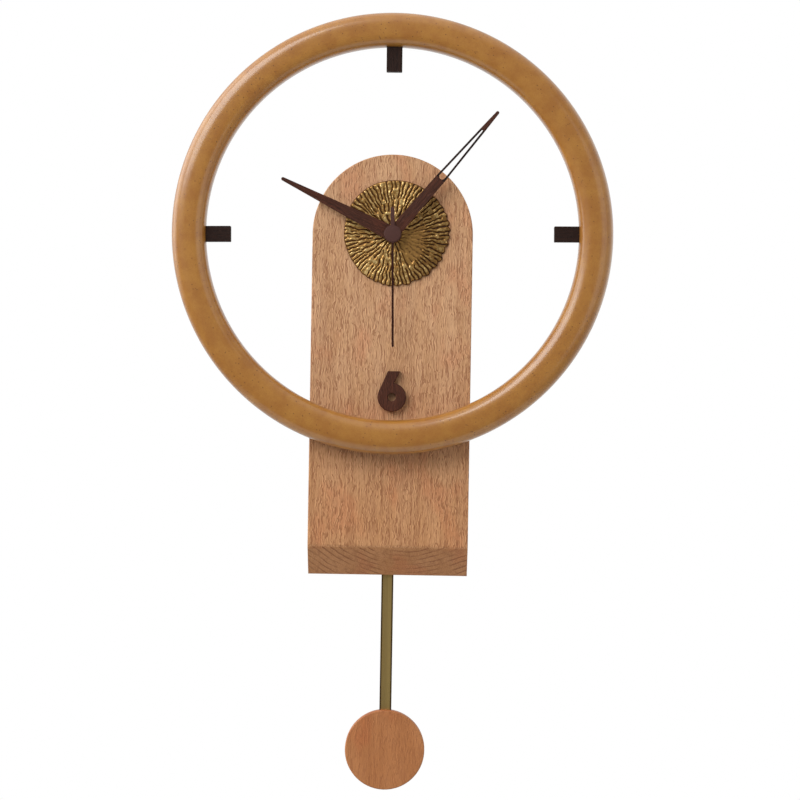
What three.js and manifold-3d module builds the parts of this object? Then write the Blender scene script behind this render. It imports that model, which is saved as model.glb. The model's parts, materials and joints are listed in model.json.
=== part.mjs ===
// Pendulum wall clock: a wooden ring dial on an arched beech backboard, with a quartz
// movement let into the back of the board and a brass pendulum with a wooden bob.
//
// Millimetres, +Z up, +X to the right of a person facing the clock, the front towards -Y.
// Drawing helpers measure from the hand axis (x = 0, z = 0) and take depths as distances
// from the wall towards the front. The whole clock is then lowered, so that the origin is
// the hanging point: the top of the hanger's slot, in the plane of the wall.
import * as THREE from "three";
import { mergeVertices } from "three/addons/utils/BufferGeometryUtils.js";
import Module from "manifold-3d";

const wasm = await Module();
wasm.setup();

// ---------------------------------------------------------------- driving dimensions
const HANG_ABOVE_AXIS = 58; // hanging point to hand axis
const GAP = 0.3; // left between a piece and the recess that takes it

const BOARD = {
  halfWidth: 73,
  bottom: -311.5, // underside, below the hand axis
  back: 2.5,
  front: 40.5,
  chamfer: 27, // the front face is cut back at 45 degrees at the bottom
  edgeBevel: 1,
};
const RING = { radius: 184.5, halfWidth: 15.5, halfDepth: 14, middle: 53.5 };
const MARKER = { innerEnd: 146.3, width: 14.2, halfDepth: 4.5, mortise: 2.8 };
const NUMERAL = { x: 1.6, z: -148, bowl: 13, eye: 3.9, thickness: 6 };
const LEAF = { x: 3.2, z: 1.3, radius: 48.2, thickness: 1.6 };

const HOUR_HAND = { length: 113, hub: 8, root: 13.2, tip: 3.2, back: 47.8, front: 49.8 };
const MINUTE_HAND = { length: 145.6, hub: 8, back: 51, front: 53, forkStart: 66, forkEnd: 127.5 };
const SECOND_HAND = { length: 102.5, tail: 24.5, hub: 7.9, back: 54.2, front: 54.8 };
const HAND_ANGLE = { hour: -64.2, minute: 40, second: 179 }; // degrees clockwise from 12

const POCKET = { halfWidth: 30, top: 30, bottom: -79, floor: 26.5 };
const SLOT = { topHalfWidth: 21, bottomHalfWidth: 47, floor: 10.6 };
const CASE = { halfWidth: 28, back: 9.4, front: 25.5, wall: 1.4 };
const PARTITION = -11.2; // wall between the gear train and the battery
const BATTERY = { radius: 7.1, length: 49, z: -19.2, depth: 16.6 };
const BUSHING = { radius: 3.9, bore: 2.85, front: 46.5 };

const DRIVE = { top: -29, bottom: -77, back: 11.8, front: 25.5, halfWidth: 25 };
const PIVOT_Z = -40;
const PENDULUM = { rodWidth: 11, rodThickness: 4, rodDepth: 6.5, pegZ: -87, rodTop: -81 };
const BOB = { z: -472.5, radius: 36.6, back: 2.5, front: 14.5, edge: 1 };

// ---------------------------------------------------------------- colours
const MATERIALS = {
  beech: { color: 0xc09068, roughness: 0.55, metalness: 0 },
  ring_wood: { color: 0xa87438, roughness: 0.35, metalness: 0 },
  walnut: { color: 0x47291f, roughness: 0.5, metalness: 0 },
  walnut_paint: { color: 0x47291f, roughness: 0.4, metalness: 0.1 },
  antique_brass: { color: 0x8a7440, roughness: 0.35, metalness: 0.9 },
  brass: { color: 0xc7a552, roughness: 0.3, metalness: 1 },
  steel: { color: 0xa8a9ab, roughness: 0.35, metalness: 1 },
  black_plastic: { color: 0x1b1b1c, roughness: 0.6, metalness: 0 },
  white_plastic: { color: 0xe8e6e0, roughness: 0.5, metalness: 0 },
  red_plastic: { color: 0xa82c24, roughness: 0.45, metalness: 0 },
  copper: { color: 0xb5683a, roughness: 0.4, metalness: 0.9 },
  circuit_green: { color: 0x2c5a3a, roughness: 0.5, metalness: 0 },
  magnet: { color: 0x55565a, roughness: 0.4, metalness: 0.8 },
  battery_wrap: { color: 0x3a5f86, roughness: 0.4, metalness: 0.2 },
  felt: { color: 0x4b4642, roughness: 1, metalness: 0 },
  rubber: { color: 0x202020, roughness: 0.9, metalness: 0 },
};

// ---------------------------------------------------------------- solids
const clock = new THREE.Group();
clock.position.z = -HANG_ABOVE_AXIS;

function toSolid(geometry) {
  const bare = geometry.clone();
  bare.deleteAttribute("normal");
  bare.deleteAttribute("uv");
  const merged = mergeVertices(bare, 1e-4);
  return new wasm.Manifold(
    new wasm.Mesh({
      numProp: 3,
      vertProperties: new Float32Array(merged.attributes.position.array),
      triVerts: new Uint32Array(merged.index.array),
    }),
  );
}

function toGeometry(solid) {
  const mesh = solid.getMesh();
  const geometry = new THREE.BufferGeometry();
  geometry.setAttribute("position", new THREE.BufferAttribute(mesh.vertProperties, 3));
  geometry.setIndex(new THREE.BufferAttribute(mesh.triVerts, 1));
  geometry.computeVertexNormals();
  return geometry;
}

function join(...pieces) {
  return toGeometry(pieces.map(toSolid).reduce((a, b) => a.add(b)));
}

function cut(piece, ...tools) {
  return toGeometry(tools.map(toSolid).reduce((a, b) => a.subtract(b), toSolid(piece)));
}

function common(a, b) {
  return toGeometry(toSolid(a).intersect(toSolid(b)));
}

function add(name, material, geometry) {
  const mesh = new THREE.Mesh(geometry, new THREE.MeshStandardMaterial(MATERIALS[material]));
  mesh.name = name;
  clock.add(mesh);
  return mesh;
}

// ---------------------------------------------------------------- outlines and plates
const radians = THREE.MathUtils.degToRad;

// Points along an arc, angles in degrees anticlockwise from +X.
function arc(x, z, radius, from, to, steps) {
  return Array.from({ length: steps + 1 }, (_, i) => {
    const a = radians(from + ((to - from) * i) / steps);
    return new THREE.Vector2(x + radius * Math.cos(a), z + radius * Math.sin(a));
  });
}

function circle(x, z, radius, steps = 24) {
  return arc(x, z, radius, 0, 360 - 360 / steps, steps - 1);
}

function rectangle(x0, x1, z0, z1) {
  return [[x0, z0], [x1, z0], [x1, z1], [x0, z1]].map((p) => new THREE.Vector2(...p));
}

// A flat plate with an outline in the plane of the dial, from one depth to another.
function plate(outline, back, front, ...holes) {
  const shape = new THREE.Shape(outline);
  shape.holes = holes.map((hole) => new THREE.Path(hole));
  const geometry = new THREE.ExtrudeGeometry(shape, { depth: front - back, bevelEnabled: false });
  geometry.rotateX(Math.PI / 2);
  geometry.translate(0, -back, 0);
  return geometry;
}

// A plate whose front and back edges are bevelled.
function bevelledPlate(outline, back, front, bevel) {
  const geometry = new THREE.ExtrudeGeometry(new THREE.Shape(outline), {
    depth: front - back - 2 * bevel,
    bevelThickness: bevel,
    bevelSize: bevel,
    bevelOffset: -bevel,
    bevelSegments: 1,
  });
  geometry.rotateX(Math.PI / 2);
  geometry.translate(0, -back - bevel, 0);
  return geometry;
}

function disc(x, z, radius, back, front, steps = 24) {
  return plate(circle(x, z, radius, steps), back, front);
}

function tube(x, z, radius, bore, back, front, steps = 24) {
  return plate(circle(x, z, radius, steps), back, front, circle(x, z, bore, steps));
}

function box(x0, x1, z0, z1, back, front) {
  return plate(rectangle(x0, x1, z0, z1), back, front);
}

// A round piece turned about an axis along the depth; its profile is a list of
// [radius, depth], from the back to the front up the outside.
function turned(x, z, profile, steps = 24) {
  const points = profile.map(([radius, depth]) => new THREE.Vector2(radius, -depth)).reverse();
  const geometry = new THREE.LatheGeometry(points, steps);
  geometry.translate(x, 0, z);
  return geometry;
}

function alongX(x0, x1, z, depth, radius, steps = 24) {
  const geometry = new THREE.CylinderGeometry(radius, radius, x1 - x0, steps);
  geometry.rotateZ(Math.PI / 2);
  geometry.translate((x0 + x1) / 2, -depth, z);
  return geometry;
}

// ---------------------------------------------------------------- backboard
function boardOutline() {
  return [
    new THREE.Vector2(-BOARD.halfWidth, BOARD.bottom),
    new THREE.Vector2(BOARD.halfWidth, BOARD.bottom),
    ...arc(0, 0, BOARD.halfWidth, 0, 180, 48),
  ];
}

// Side view of the board, extruded across its width, with the chamfer along the bottom.
function boardSideProfile() {
  const { back, front, bottom, chamfer } = BOARD;
  const top = BOARD.halfWidth + 1;
  const points = [
    [front, bottom + chamfer], [front - chamfer, bottom],
    [back, bottom], [back, top], [front, top],
  ].map((p) => new THREE.Vector2(...p));
  const width = 2 * BOARD.halfWidth + 2;
  const geometry = new THREE.ExtrudeGeometry(new THREE.Shape(points), {
    depth: width,
    bevelEnabled: false,
  });
  // The drawing's x is a depth and its y a height: depth goes to -Y, height to Z, extrusion to X.
  const basis = new THREE.Matrix4().makeBasis(
    new THREE.Vector3(0, -1, 0),
    new THREE.Vector3(0, 0, 1),
    new THREE.Vector3(-1, 0, 0),
  );
  geometry.applyMatrix4(basis);
  geometry.translate(width / 2, 0, 0);
  return geometry;
}

const RING_SCREW_X = 26;
const RING_SCREW = { head: 4, shank: 2, headDepth: 2.4, tip: 51 };
const ringScrewZ = -Math.sqrt(RING.radius ** 2 - RING_SCREW_X ** 2);
const DOWEL = { radius: 4, back: 28, front: 51 };
const HANGER = { halfLength: 24, halfHeight: 11, thickness: 1.5, slot: 2.6, hole: 5.2 };
const HANGER_SCREW_X = 16;
const HANGER_HOLE_DROP = 9; // from the hanging point down to the middle of the round hole
const hangerHoleZ = HANG_ABOVE_AXIS - HANGER_HOLE_DROP;
const hangerZ = HANG_ABOVE_AXIS - 7;

function hangerOutline(grow) {
  const { halfLength, halfHeight } = HANGER;
  const radius = halfHeight + grow;
  const x = halfLength - halfHeight;
  return [...arc(x, hangerZ, radius, -90, 90, 10), ...arc(-x, hangerZ, radius, 90, 270, 10)];
}

function keyhole(grow) {
  const slot = HANGER.slot + grow;
  const hole = HANGER.hole + grow;
  const meet = (Math.asin(slot / hole) * 180) / Math.PI;
  const top = HANG_ABOVE_AXIS - HANGER.slot;
  return [
    ...arc(0, top, slot, 0, 180, 8),
    ...arc(0, hangerHoleZ, hole, 90 + meet, 450 - meet, 16),
  ];
}

function screwHole(x, z, radius, head, headBack, headDepth, tip) {
  return turned(x, z, [
    [0, headBack - 1],
    [head, headBack - 1],
    [head, headBack],
    [radius, headBack + headDepth],
    [radius, tip],
    [0, tip],
  ], 12);
}

function backboard() {
  const { back, front, bottom } = BOARD;
  const blank = common(
    bevelledPlate(boardOutline(), back, front, BOARD.edgeBevel),
    boardSideProfile(),
  );
  const movementPocket = box(
    -POCKET.halfWidth, POCKET.halfWidth, POCKET.bottom, POCKET.top, back - 1, POCKET.floor,
  );
  const swingSlot = plate([
    new THREE.Vector2(-SLOT.bottomHalfWidth, bottom - 1),
    new THREE.Vector2(SLOT.bottomHalfWidth, bottom - 1),
    new THREE.Vector2(SLOT.topHalfWidth, POCKET.bottom + 10),
    new THREE.Vector2(-SLOT.topHalfWidth, POCKET.bottom + 10),
  ], back - 1, SLOT.floor);
  const hangerRecess = plate(hangerOutline(GAP), back - 1, back + HANGER.thickness + GAP);
  const hangerCavity = plate(keyhole(2), back, back + 10);
  const screwHoles = [-RING_SCREW_X, RING_SCREW_X].map((x) =>
    screwHole(x, ringScrewZ, RING_SCREW.shank + GAP, RING_SCREW.head + GAP, SLOT.floor,
      RING_SCREW.headDepth, front + 1));
  const hangerScrewHoles = [-HANGER_SCREW_X, HANGER_SCREW_X].map((x) =>
    disc(x, hangerZ, 1.5, back, back + 15, 10));
  return cut(
    blank,
    movementPocket,
    swingSlot,
    hangerRecess,
    hangerCavity,
    ...screwHoles,
    ...hangerScrewHoles,
    disc(0, -RING.radius, DOWEL.radius + GAP, DOWEL.back - GAP, front + 1, 16),
    disc(0, 0, BUSHING.radius + GAP, back, front + 1, 20),
  );
}

add("backboard", "beech", backboard());

// ---------------------------------------------------------------- ring, markers, numeral
// The section is an ellipse whose back is planed flat where it sits on the board.
function ringSection(steps) {
  const { radius, halfWidth, halfDepth, middle } = RING;
  const seat = Math.acos((BOARD.front - middle) / halfDepth);
  const points = [];
  for (let i = 0; i <= steps; i++) {
    const a = seat - (2 * seat * i) / steps;
    points.push([radius + halfWidth * Math.sin(a), middle + halfDepth * Math.cos(a)]);
  }
  points.push(points[0]);
  return points;
}

// A marker lies along a radius, its outer end let into the ring.
function marker(angle, grow, outer) {
  const half = MARKER.width / 2 + grow;
  const { middle } = RING;
  const geometry = box(
    -half, half, MARKER.innerEnd - grow, outer,
    middle - MARKER.halfDepth - grow, middle + MARKER.halfDepth + grow,
  );
  geometry.rotateY(radians(angle));
  return geometry;
}

const ringInner = RING.radius - RING.halfWidth;
const markerOuter = ringInner + MARKER.mortise;
// Degrees clockwise from 12: the ring sits a little turned on the board.
const MARKER_ANGLES = { marker_12: -0.3, marker_3: 89.3, marker_9: -91 };

function ring() {
  const mortises = Object.values(MARKER_ANGLES).map((angle) =>
    marker(angle, GAP, markerOuter + GAP));
  const pilots = [-RING_SCREW_X, RING_SCREW_X].map((x) =>
    disc(x, ringScrewZ, RING_SCREW.shank + GAP, BOARD.front - 1, RING_SCREW.tip + GAP, 12));
  const dowelHole = disc(0, -RING.radius, DOWEL.radius + GAP, BOARD.front - 1,
    DOWEL.front + GAP, 16);
  return cut(turned(0, 0, ringSection(12), 72), ...mortises, ...pilots, dowelHole);
}

add("ring_frame", "ring_wood", ring());
for (const [name, angle] of Object.entries(MARKER_ANGLES)) {
  add(name, "walnut", marker(angle, 0, markerOuter));
}

// A 6 with a round bowl and a straight slanted stem, cut off level at the top.
function numeralOutline() {
  const { x, z, bowl } = NUMERAL;
  const top = z + 23.7;
  const stemLeft = new THREE.Vector2(x - 3.9, top);
  const stemRight = new THREE.Vector2(x + 7.4, top);
  const reach = Math.hypot(stemLeft.x - x, top - z);
  const towardsStem = (Math.atan2(top - z, stemLeft.x - x) * 180) / Math.PI;
  const tangent = towardsStem + (Math.acos(bowl / reach) * 180) / Math.PI;
  const crotch = 83;
  return [stemLeft, ...arc(x, z, bowl, tangent, crotch + 360, 34), stemRight];
}

add("numeral_6", "walnut", plate(
  numeralOutline(), BOARD.front, BOARD.front + NUMERAL.thickness,
  circle(NUMERAL.x, NUMERAL.z, NUMERAL.eye, 20),
));

// ---------------------------------------------------------------- brass leaf
// Nearly round and set off centre, with a scalloped rim that is smooth at the upper left.
function leafOutline() {
  const steps = 120;
  return Array.from({ length: steps }, (_, i) => {
    const a = (i / steps) * 2 * Math.PI;
    const scallop = 0.45 * Math.sin(30 * a) * (0.6 - 0.4 * Math.cos(a - radians(130)));
    const r = LEAF.radius + 0.5 * Math.sin(3 * a + 1) + scallop;
    return new THREE.Vector2(LEAF.x + r * Math.cos(a), LEAF.z + r * Math.sin(a));
  });
}

const leafFront = BOARD.front + LEAF.thickness;
add("brass_leaf", "antique_brass", plate(
  leafOutline(), BOARD.front, leafFront, circle(0, 0, BUSHING.radius + GAP, 20),
));

// ---------------------------------------------------------------- hands
function placeHand(mesh, angle) {
  mesh.rotation.y = radians(angle);
  return mesh;
}

function hourHandOutline() {
  const { length, hub, root, tip } = HOUR_HAND;
  const shoulder = 10;
  return [
    new THREE.Vector2(-root / 2, shoulder),
    ...arc(0, 0, hub, 145, 395, 20),
    new THREE.Vector2(root / 2, shoulder),
    ...arc(0, length - tip / 2, tip / 2, 0, 180, 8),
  ];
}

const BUSH = { hour: { radius: 3.6, bore: 2.55 }, minute: { radius: 2.6, bore: 1.6 } };
placeHand(add("hour_hand", "walnut", plate(
  hourHandOutline(), HOUR_HAND.back, HOUR_HAND.front, circle(0, 0, BUSH.hour.radius + 0.1),
)), HAND_ANGLE.hour);

// A blade as far as the fork, two thin prongs that close up, and a solid rounded tip.
function minuteHand() {
  const { length, hub, back, front, forkStart, forkEnd } = MINUTE_HAND;
  const width = { root: 10.6, fork: 8.6, tip: 3.8, point: 2.6 };
  const prong = 1.5;
  const blade = [
    ...arc(0, 0, hub, 135, 405, 20),
    new THREE.Vector2(width.root / 2, hub),
    new THREE.Vector2(width.fork / 2, forkStart),
    new THREE.Vector2(width.tip / 2, forkEnd),
    ...arc(0, length - width.point / 2, width.point / 2, 0, 180, 8),
    new THREE.Vector2(-width.tip / 2, forkEnd),
    new THREE.Vector2(-width.fork / 2, forkStart),
    new THREE.Vector2(-width.root / 2, hub),
  ];
  const eye = width.fork / 2 - prong;
  const slit = width.tip / 2 - prong;
  const opening = [
    ...arc(0, forkStart + eye, eye, 180, 360, 10),
    ...arc(0, forkEnd - slit, slit, 0, 180, 4),
  ];
  return plate(blade, back, front, opening, circle(0, 0, BUSH.minute.radius + 0.1));
}

placeHand(add("minute_hand", "walnut", minuteHand()), HAND_ANGLE.minute);

function secondHandOutline() {
  const { length, tail, hub } = SECOND_HAND;
  const needle = 0.85;
  const tailHalf = 1.5;
  const up = (Math.asin(needle / hub) * 180) / Math.PI;
  const down = (Math.asin(tailHalf / hub) * 180) / Math.PI;
  return [
    ...arc(0, 0, hub, 90 + up, 270 - down, 14),
    new THREE.Vector2(-tailHalf, -tail),
    new THREE.Vector2(tailHalf, -tail),
    ...arc(0, 0, hub, 270 + down, 450 - up, 14),
    new THREE.Vector2(needle * 0.7, length),
    new THREE.Vector2(-needle * 0.7, length),
  ];
}

const SPINDLE = { radius: 0.5, bore: 0.75 };
placeHand(add("second_hand", "walnut_paint", plate(
  secondHandOutline(), SECOND_HAND.back, SECOND_HAND.front,
)), HAND_ANGLE.second);
add("second_hand_tube", "brass", tube(
  0, 0, 1.3, SPINDLE.radius + 0.1, SECOND_HAND.back - 0.7, SECOND_HAND.back, 12,
));
add("hour_hand_bush", "brass", tube(
  0, 0, BUSH.hour.radius, BUSH.hour.bore + 0.1, HOUR_HAND.back - 0.6, HOUR_HAND.front + 0.4, 20,
));
add("minute_hand_bush", "brass", tube(
  0, 0, BUSH.minute.radius, BUSH.minute.bore + 0.1, MINUTE_HAND.back - 0.4, MINUTE_HAND.front + 0.2,
  20,
));

// ---------------------------------------------------------------- movement mounting
const WASHER = { radius: 7.2, thickness: 0.6 };
const NUT = { radius: 6.4, thickness: 2.6 };
add("rubber_gasket", "rubber", tube(
  0, 0, 11, BUSHING.radius + GAP, CASE.front, POCKET.floor, 24,
));
add("threaded_bushing", "brass", tube(
  0, 0, BUSHING.radius, BUSHING.bore, CASE.front - CASE.wall, BUSHING.front, 20,
));
add("shaft_washer", "brass", tube(
  0, 0, WASHER.radius, BUSHING.radius + 0.2, leafFront, leafFront + WASHER.thickness, 24,
));
add("shaft_nut", "brass", plate(
  circle(0, 0, NUT.radius, 6),
  leafFront + WASHER.thickness, leafFront + WASHER.thickness + NUT.thickness,
  circle(0, 0, BUSHING.radius + 0.2, 20),
));

// ---------------------------------------------------------------- gear train
// Teeth are straight-sided, with enough backlash for every pair to turn freely.
function gearOutline(x, z, teeth, module, phase) {
  const pitch = (teeth * module) / 2;
  const tip = pitch + 0.8 * module;
  const root = pitch - 1.15 * module;
  const step = (2 * Math.PI) / teeth;
  const points = [];
  for (let i = 0; i < teeth; i++) {
    const middle = phase + i * step;
    for (const [radius, share] of [[root, -0.3], [tip, -0.11], [tip, 0.11], [root, 0.3]]) {
      const a = middle + share * step;
      points.push(new THREE.Vector2(x + radius * Math.cos(a), z + radius * Math.sin(a)));
    }
  }
  return points;
}

// A gear is { at: [x, z], teeth, module, phase }; its axis lies along the depth.
function gear(part, back, front) {
  return plate(gearOutline(...part.at, part.teeth, part.module, part.phase), back, front);
}

// The phase that puts a gear in mesh with another, whose phase is known.
function inMesh(gearB, gearA) {
  const towards = Math.atan2(gearB.at[1] - gearA.at[1], gearB.at[0] - gearA.at[0]);
  const ratio = gearA.teeth / gearB.teeth;
  gearB.phase = towards + Math.PI + Math.PI / gearB.teeth - (gearA.phase - towards) * ratio;
  return gearB;
}

function polar(from, distance, degrees) {
  const a = radians(degrees);
  return [from[0] + distance * Math.cos(a), from[1] + distance * Math.sin(a)];
}

function centres(teethA, teethB, module) {
  return ((teethA + teethB) * module) / 2;
}

const CENTRE = [0, 0];
const goingDistance = centres(6, 45, 0.4);
const motionDistance = centres(10, 30, 0.42);
const motorDistance = centres(6, 36, 0.4);
const THIRD = polar(CENTRE, goingDistance, 62);
const MINUTE_WORK = polar(CENTRE, motionDistance, 150);
const SETTING = polar(MINUTE_WORK, motionDistance, 172);
const INTERMEDIATE = polar(CENTRE, motorDistance, 0);
const ROTOR = polar(INTERMEDIATE, motorDistance, 0);

const secondsPinion = { at: CENTRE, teeth: 6, module: 0.4, phase: 0 };
const thirdWheel = inMesh({ at: THIRD, teeth: 45, module: 0.4 }, secondsPinion);
const thirdPinion = { at: THIRD, teeth: 6, module: (2 * goingDistance) / 54, phase: 0 };
const centreWheel = inMesh({ at: CENTRE, teeth: 48, module: thirdPinion.module }, thirdPinion);
const cannonPinion = { at: CENTRE, teeth: 10, module: 0.42, phase: 0 };
const minuteWheel = inMesh({ at: MINUTE_WORK, teeth: 30, module: 0.42 }, cannonPinion);
const settingPinion = inMesh({ at: SETTING, teeth: 10, module: 0.42 }, minuteWheel);
const minutePinion = { at: MINUTE_WORK, teeth: 8, module: (2 * motionDistance) / 40, phase: 0 };
const hourWheel = inMesh({ at: CENTRE, teeth: 32, module: minutePinion.module }, minutePinion);
const intermediatePinion = { at: INTERMEDIATE, teeth: 6, module: (2 * motorDistance) / 36, phase: 0 };
const secondsWheel = inMesh({ at: CENTRE, teeth: 30, module: intermediatePinion.module },
  intermediatePinion);
const rotorPinion = { at: ROTOR, teeth: 6, module: 0.4, phase: 0 };
const intermediateWheel = inMesh({ at: INTERMEDIATE, teeth: 36, module: 0.4 }, rotorPinion);

const COVER = { back: CASE.back - 1.4, front: CASE.back };
const TRAIN = {
  rear: COVER.front - 0.8, // ends of the arbors, in holes in the cover
  intermediate: [10.3, 11.3],
  seconds: [12.2, 13.2],
  stator: [13.9, 14.7],
  third: [15.1, 16.1],
  centre: [17.4, 18.4],
  motion: [19.6, 20.8],
  hour: [21.8, 23],
};
const PIVOT = 0.5; // radius of the small arbors

// Pinions are a little longer than the wheels that they drive.
function beside([back, front]) {
  return [back - 0.3, front + 0.3];
}

function arbor(at, radius, back, front) {
  return disc(...at, radius, back, front, 12);
}

add("seconds_wheel", "white_plastic", cut(
  join(
    gear(secondsWheel, ...TRAIN.seconds),
    gear(secondsPinion, TRAIN.seconds[1], TRAIN.third[1] + 0.3),
  ),
  arbor(CENTRE, SPINDLE.radius + 0.1, TRAIN.seconds[0] - 1, TRAIN.third[1] + 1),
));
add("seconds_spindle", "steel", arbor(CENTRE, SPINDLE.radius, TRAIN.rear, SECOND_HAND.back - 0.1));

add("third_wheel", "white_plastic", join(
  gear(thirdWheel, ...TRAIN.third),
  gear(thirdPinion, TRAIN.third[1], TRAIN.centre[1] + 0.3),
  arbor(THIRD, PIVOT, TRAIN.rear, CASE.front - CASE.wall - 0.3),
));

add("centre_wheel", "brass", cut(
  join(
    gear(centreWheel, ...TRAIN.centre),
    gear(cannonPinion, TRAIN.centre[1], TRAIN.motion[1] + 0.3),
    arbor(CENTRE, BUSH.minute.bore, TRAIN.centre[0] - 0.6, MINUTE_HAND.front + 0.2),
  ),
  arbor(CENTRE, SPINDLE.bore, TRAIN.centre[0] - 1, MINUTE_HAND.front + 1),
));

const KNOB = { radius: 5, back: 4.2, front: 7.2 };
add("minute_wheel", "white_plastic", join(
  gear(minuteWheel, ...TRAIN.motion),
  gear(minutePinion, TRAIN.motion[1], TRAIN.hour[1] + 0.2),
  arbor(MINUTE_WORK, PIVOT, TRAIN.centre[1] + 0.4, CASE.front - CASE.wall - 0.3),
));
add("setting_pinion", "white_plastic", cut(
  join(
    gear(settingPinion, ...beside(TRAIN.motion)),
    arbor(SETTING, 1.5, KNOB.front + 0.1, CASE.front - CASE.wall - 0.3),
  ),
  arbor(SETTING, 0.8, KNOB.front - 1, KNOB.front + 5),
));

// The setting knob has a gripped rim, and a peg that fits the setting pinion's arbor.
add("setting_knob", "red_plastic", join(
  plate(Array.from({ length: 48 }, (_, i) => {
    const radius = KNOB.radius + (i % 2 ? 0.25 : -0.25);
    const a = (i / 48) * 2 * Math.PI;
    return new THREE.Vector2(SETTING[0] + radius * Math.cos(a), SETTING[1] + radius * Math.sin(a));
  }), KNOB.back, KNOB.front),
  arbor(SETTING, 0.6, KNOB.front - 1, KNOB.front + 4.5),
));

const HOUR_TUBE_BORE = 1.85;
add("hour_wheel", "brass", cut(
  join(
    gear(hourWheel, ...TRAIN.hour),
    disc(...CENTRE, BUSH.hour.bore, TRAIN.hour[0], HOUR_HAND.front + 0.2, 20),
  ),
  disc(...CENTRE, HOUR_TUBE_BORE, TRAIN.hour[0] - 1, HOUR_HAND.front + 1, 20),
));

add("intermediate_wheel", "white_plastic", join(
  gear(intermediateWheel, ...TRAIN.intermediate),
  gear(intermediatePinion, TRAIN.intermediate[1], TRAIN.seconds[1] + 0.3),
  arbor(INTERMEDIATE, PIVOT, TRAIN.rear, TRAIN.seconds[1] + 1),
));

// ---------------------------------------------------------------- stepping motor
const MAGNET = { radius: 2.6, back: 12.8, front: 16.4 };
add("rotor_pinion", "white_plastic", join(
  gear(rotorPinion, ...beside(TRAIN.intermediate)),
  arbor(ROTOR, PIVOT, TRAIN.rear, CASE.front - CASE.wall - 0.3),
));
add("rotor_magnet", "magnet", tube(
  ...ROTOR, MAGNET.radius, PIVOT + 0.1, MAGNET.back, MAGNET.front, 16,
));

const COIL = { z: 21.6, radius: 3.2, x0: 15.4, x1: 22 };
const STATOR = { left: 11.8, right: 25.4, leg: 2.4, half: 5.2 };
add("stator", "steel", plate([
  [STATOR.left, -STATOR.half],
  [STATOR.right, -STATOR.half],
  [STATOR.right, COIL.z + 1.2],
  [STATOR.right - STATOR.leg, COIL.z + 1.2],
  [STATOR.right - STATOR.leg, STATOR.half],
  [STATOR.left + STATOR.leg, STATOR.half],
  [STATOR.left + STATOR.leg, COIL.z + 1.2],
  [STATOR.left, COIL.z + 1.2],
].map((p) => new THREE.Vector2(...p)), ...TRAIN.stator, circle(...ROTOR, MAGNET.radius + 0.6, 20)));

const CORE = { back: TRAIN.stator[1] + 0.1, thickness: 0.8 };
const coilDepth = CORE.back + CORE.thickness / 2;
add("coil_core", "steel", box(
  STATOR.left, STATOR.right, COIL.z - 1.2, COIL.z + 1.2, CORE.back, CORE.back + CORE.thickness,
));
add("coil_winding", "copper", cut(
  alongX(COIL.x0, COIL.x1, COIL.z, coilDepth, COIL.radius, 20),
  box(
    COIL.x0 - 1, COIL.x1 + 1, COIL.z - 1.4, COIL.z + 1.4,
    CORE.back - 0.2, CORE.back + CORE.thickness + 0.2,
  ),
));

const PCB = { x0: -25, x1: -6, z0: 15.5, z1: 26, back: 11, front: 12 };
add("circuit_board", "circuit_green", box(PCB.x0, PCB.x1, PCB.z0, PCB.z1, PCB.back, PCB.front));
add("quartz_crystal", "steel", alongX(-16, -9, 23, PCB.front + 1.2, 1, 12));
add("timing_chip", "black_plastic", disc(-20, 20.5, 2.6, PCB.front, PCB.front + 1, 16));

// ---------------------------------------------------------------- movement case and battery
function movementCase() {
  const { halfWidth, back, front, wall } = CASE;
  const inside = halfWidth - wall;
  const floor = front - wall;
  return cut(
    box(-halfWidth, halfWidth, -halfWidth, halfWidth, back, front),
    box(-inside, inside, PARTITION + wall / 2, inside, back - 1, floor),
    box(-inside, inside, -inside, PARTITION - wall / 2, back - 1, floor),
    disc(0, 0, BUSHING.radius + 0.1, floor - 1, front + 1, 20),
  );
}

add("movement_case", "black_plastic", movementCase());

function movementCover() {
  const { halfWidth } = CASE;
  const pivots = [CENTRE, THIRD, INTERMEDIATE, ROTOR].map((at) => circle(...at, PIVOT + 0.15, 12));
  return plate(
    rectangle(-halfWidth, halfWidth, PARTITION - CASE.wall / 2, halfWidth),
    COVER.back, COVER.front,
    ...pivots,
    circle(...SETTING, 1.8, 16),
  );
}

add("movement_cover", "black_plastic", movementCover());

const batteryEnd = BATTERY.length / 2;
add("battery", "battery_wrap", join(
  alongX(-batteryEnd, batteryEnd - 1, BATTERY.z, BATTERY.depth, BATTERY.radius, 28),
  alongX(batteryEnd - 1.5, batteryEnd + 0.2, BATTERY.z, BATTERY.depth, 2.7, 16),
));
const caseInside = CASE.halfWidth - CASE.wall;
add("contact_positive", "steel", box(
  caseInside - 0.5, caseInside - 0.05, BATTERY.z - 4, BATTERY.z + 4,
  BATTERY.depth - 6, BATTERY.depth + 5,
));

// The negative contact is a cone spring, wound on a helix that narrows towards the battery.
function contactSpring() {
  const turns = 2.6;
  const start = -caseInside + 0.55;
  const end = -batteryEnd - 0.45;
  class ConeHelix extends THREE.Curve {
    getPoint(t, target = new THREE.Vector3()) {
      const a = t * turns * 2 * Math.PI;
      const radius = 4.6 - 1.6 * t;
      return target.set(
        start + (end - start) * t,
        -BATTERY.depth + radius * Math.cos(a),
        BATTERY.z + radius * Math.sin(a),
      );
    }
  }
  return new THREE.ExtrudeGeometry(new THREE.Shape(circle(0, 0, 0.3, 6)), {
    steps: 40,
    extrudePath: new ConeHelix(),
    bevelEnabled: false,
  });
}

add("contact_spring", "steel", contactSpring());

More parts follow.
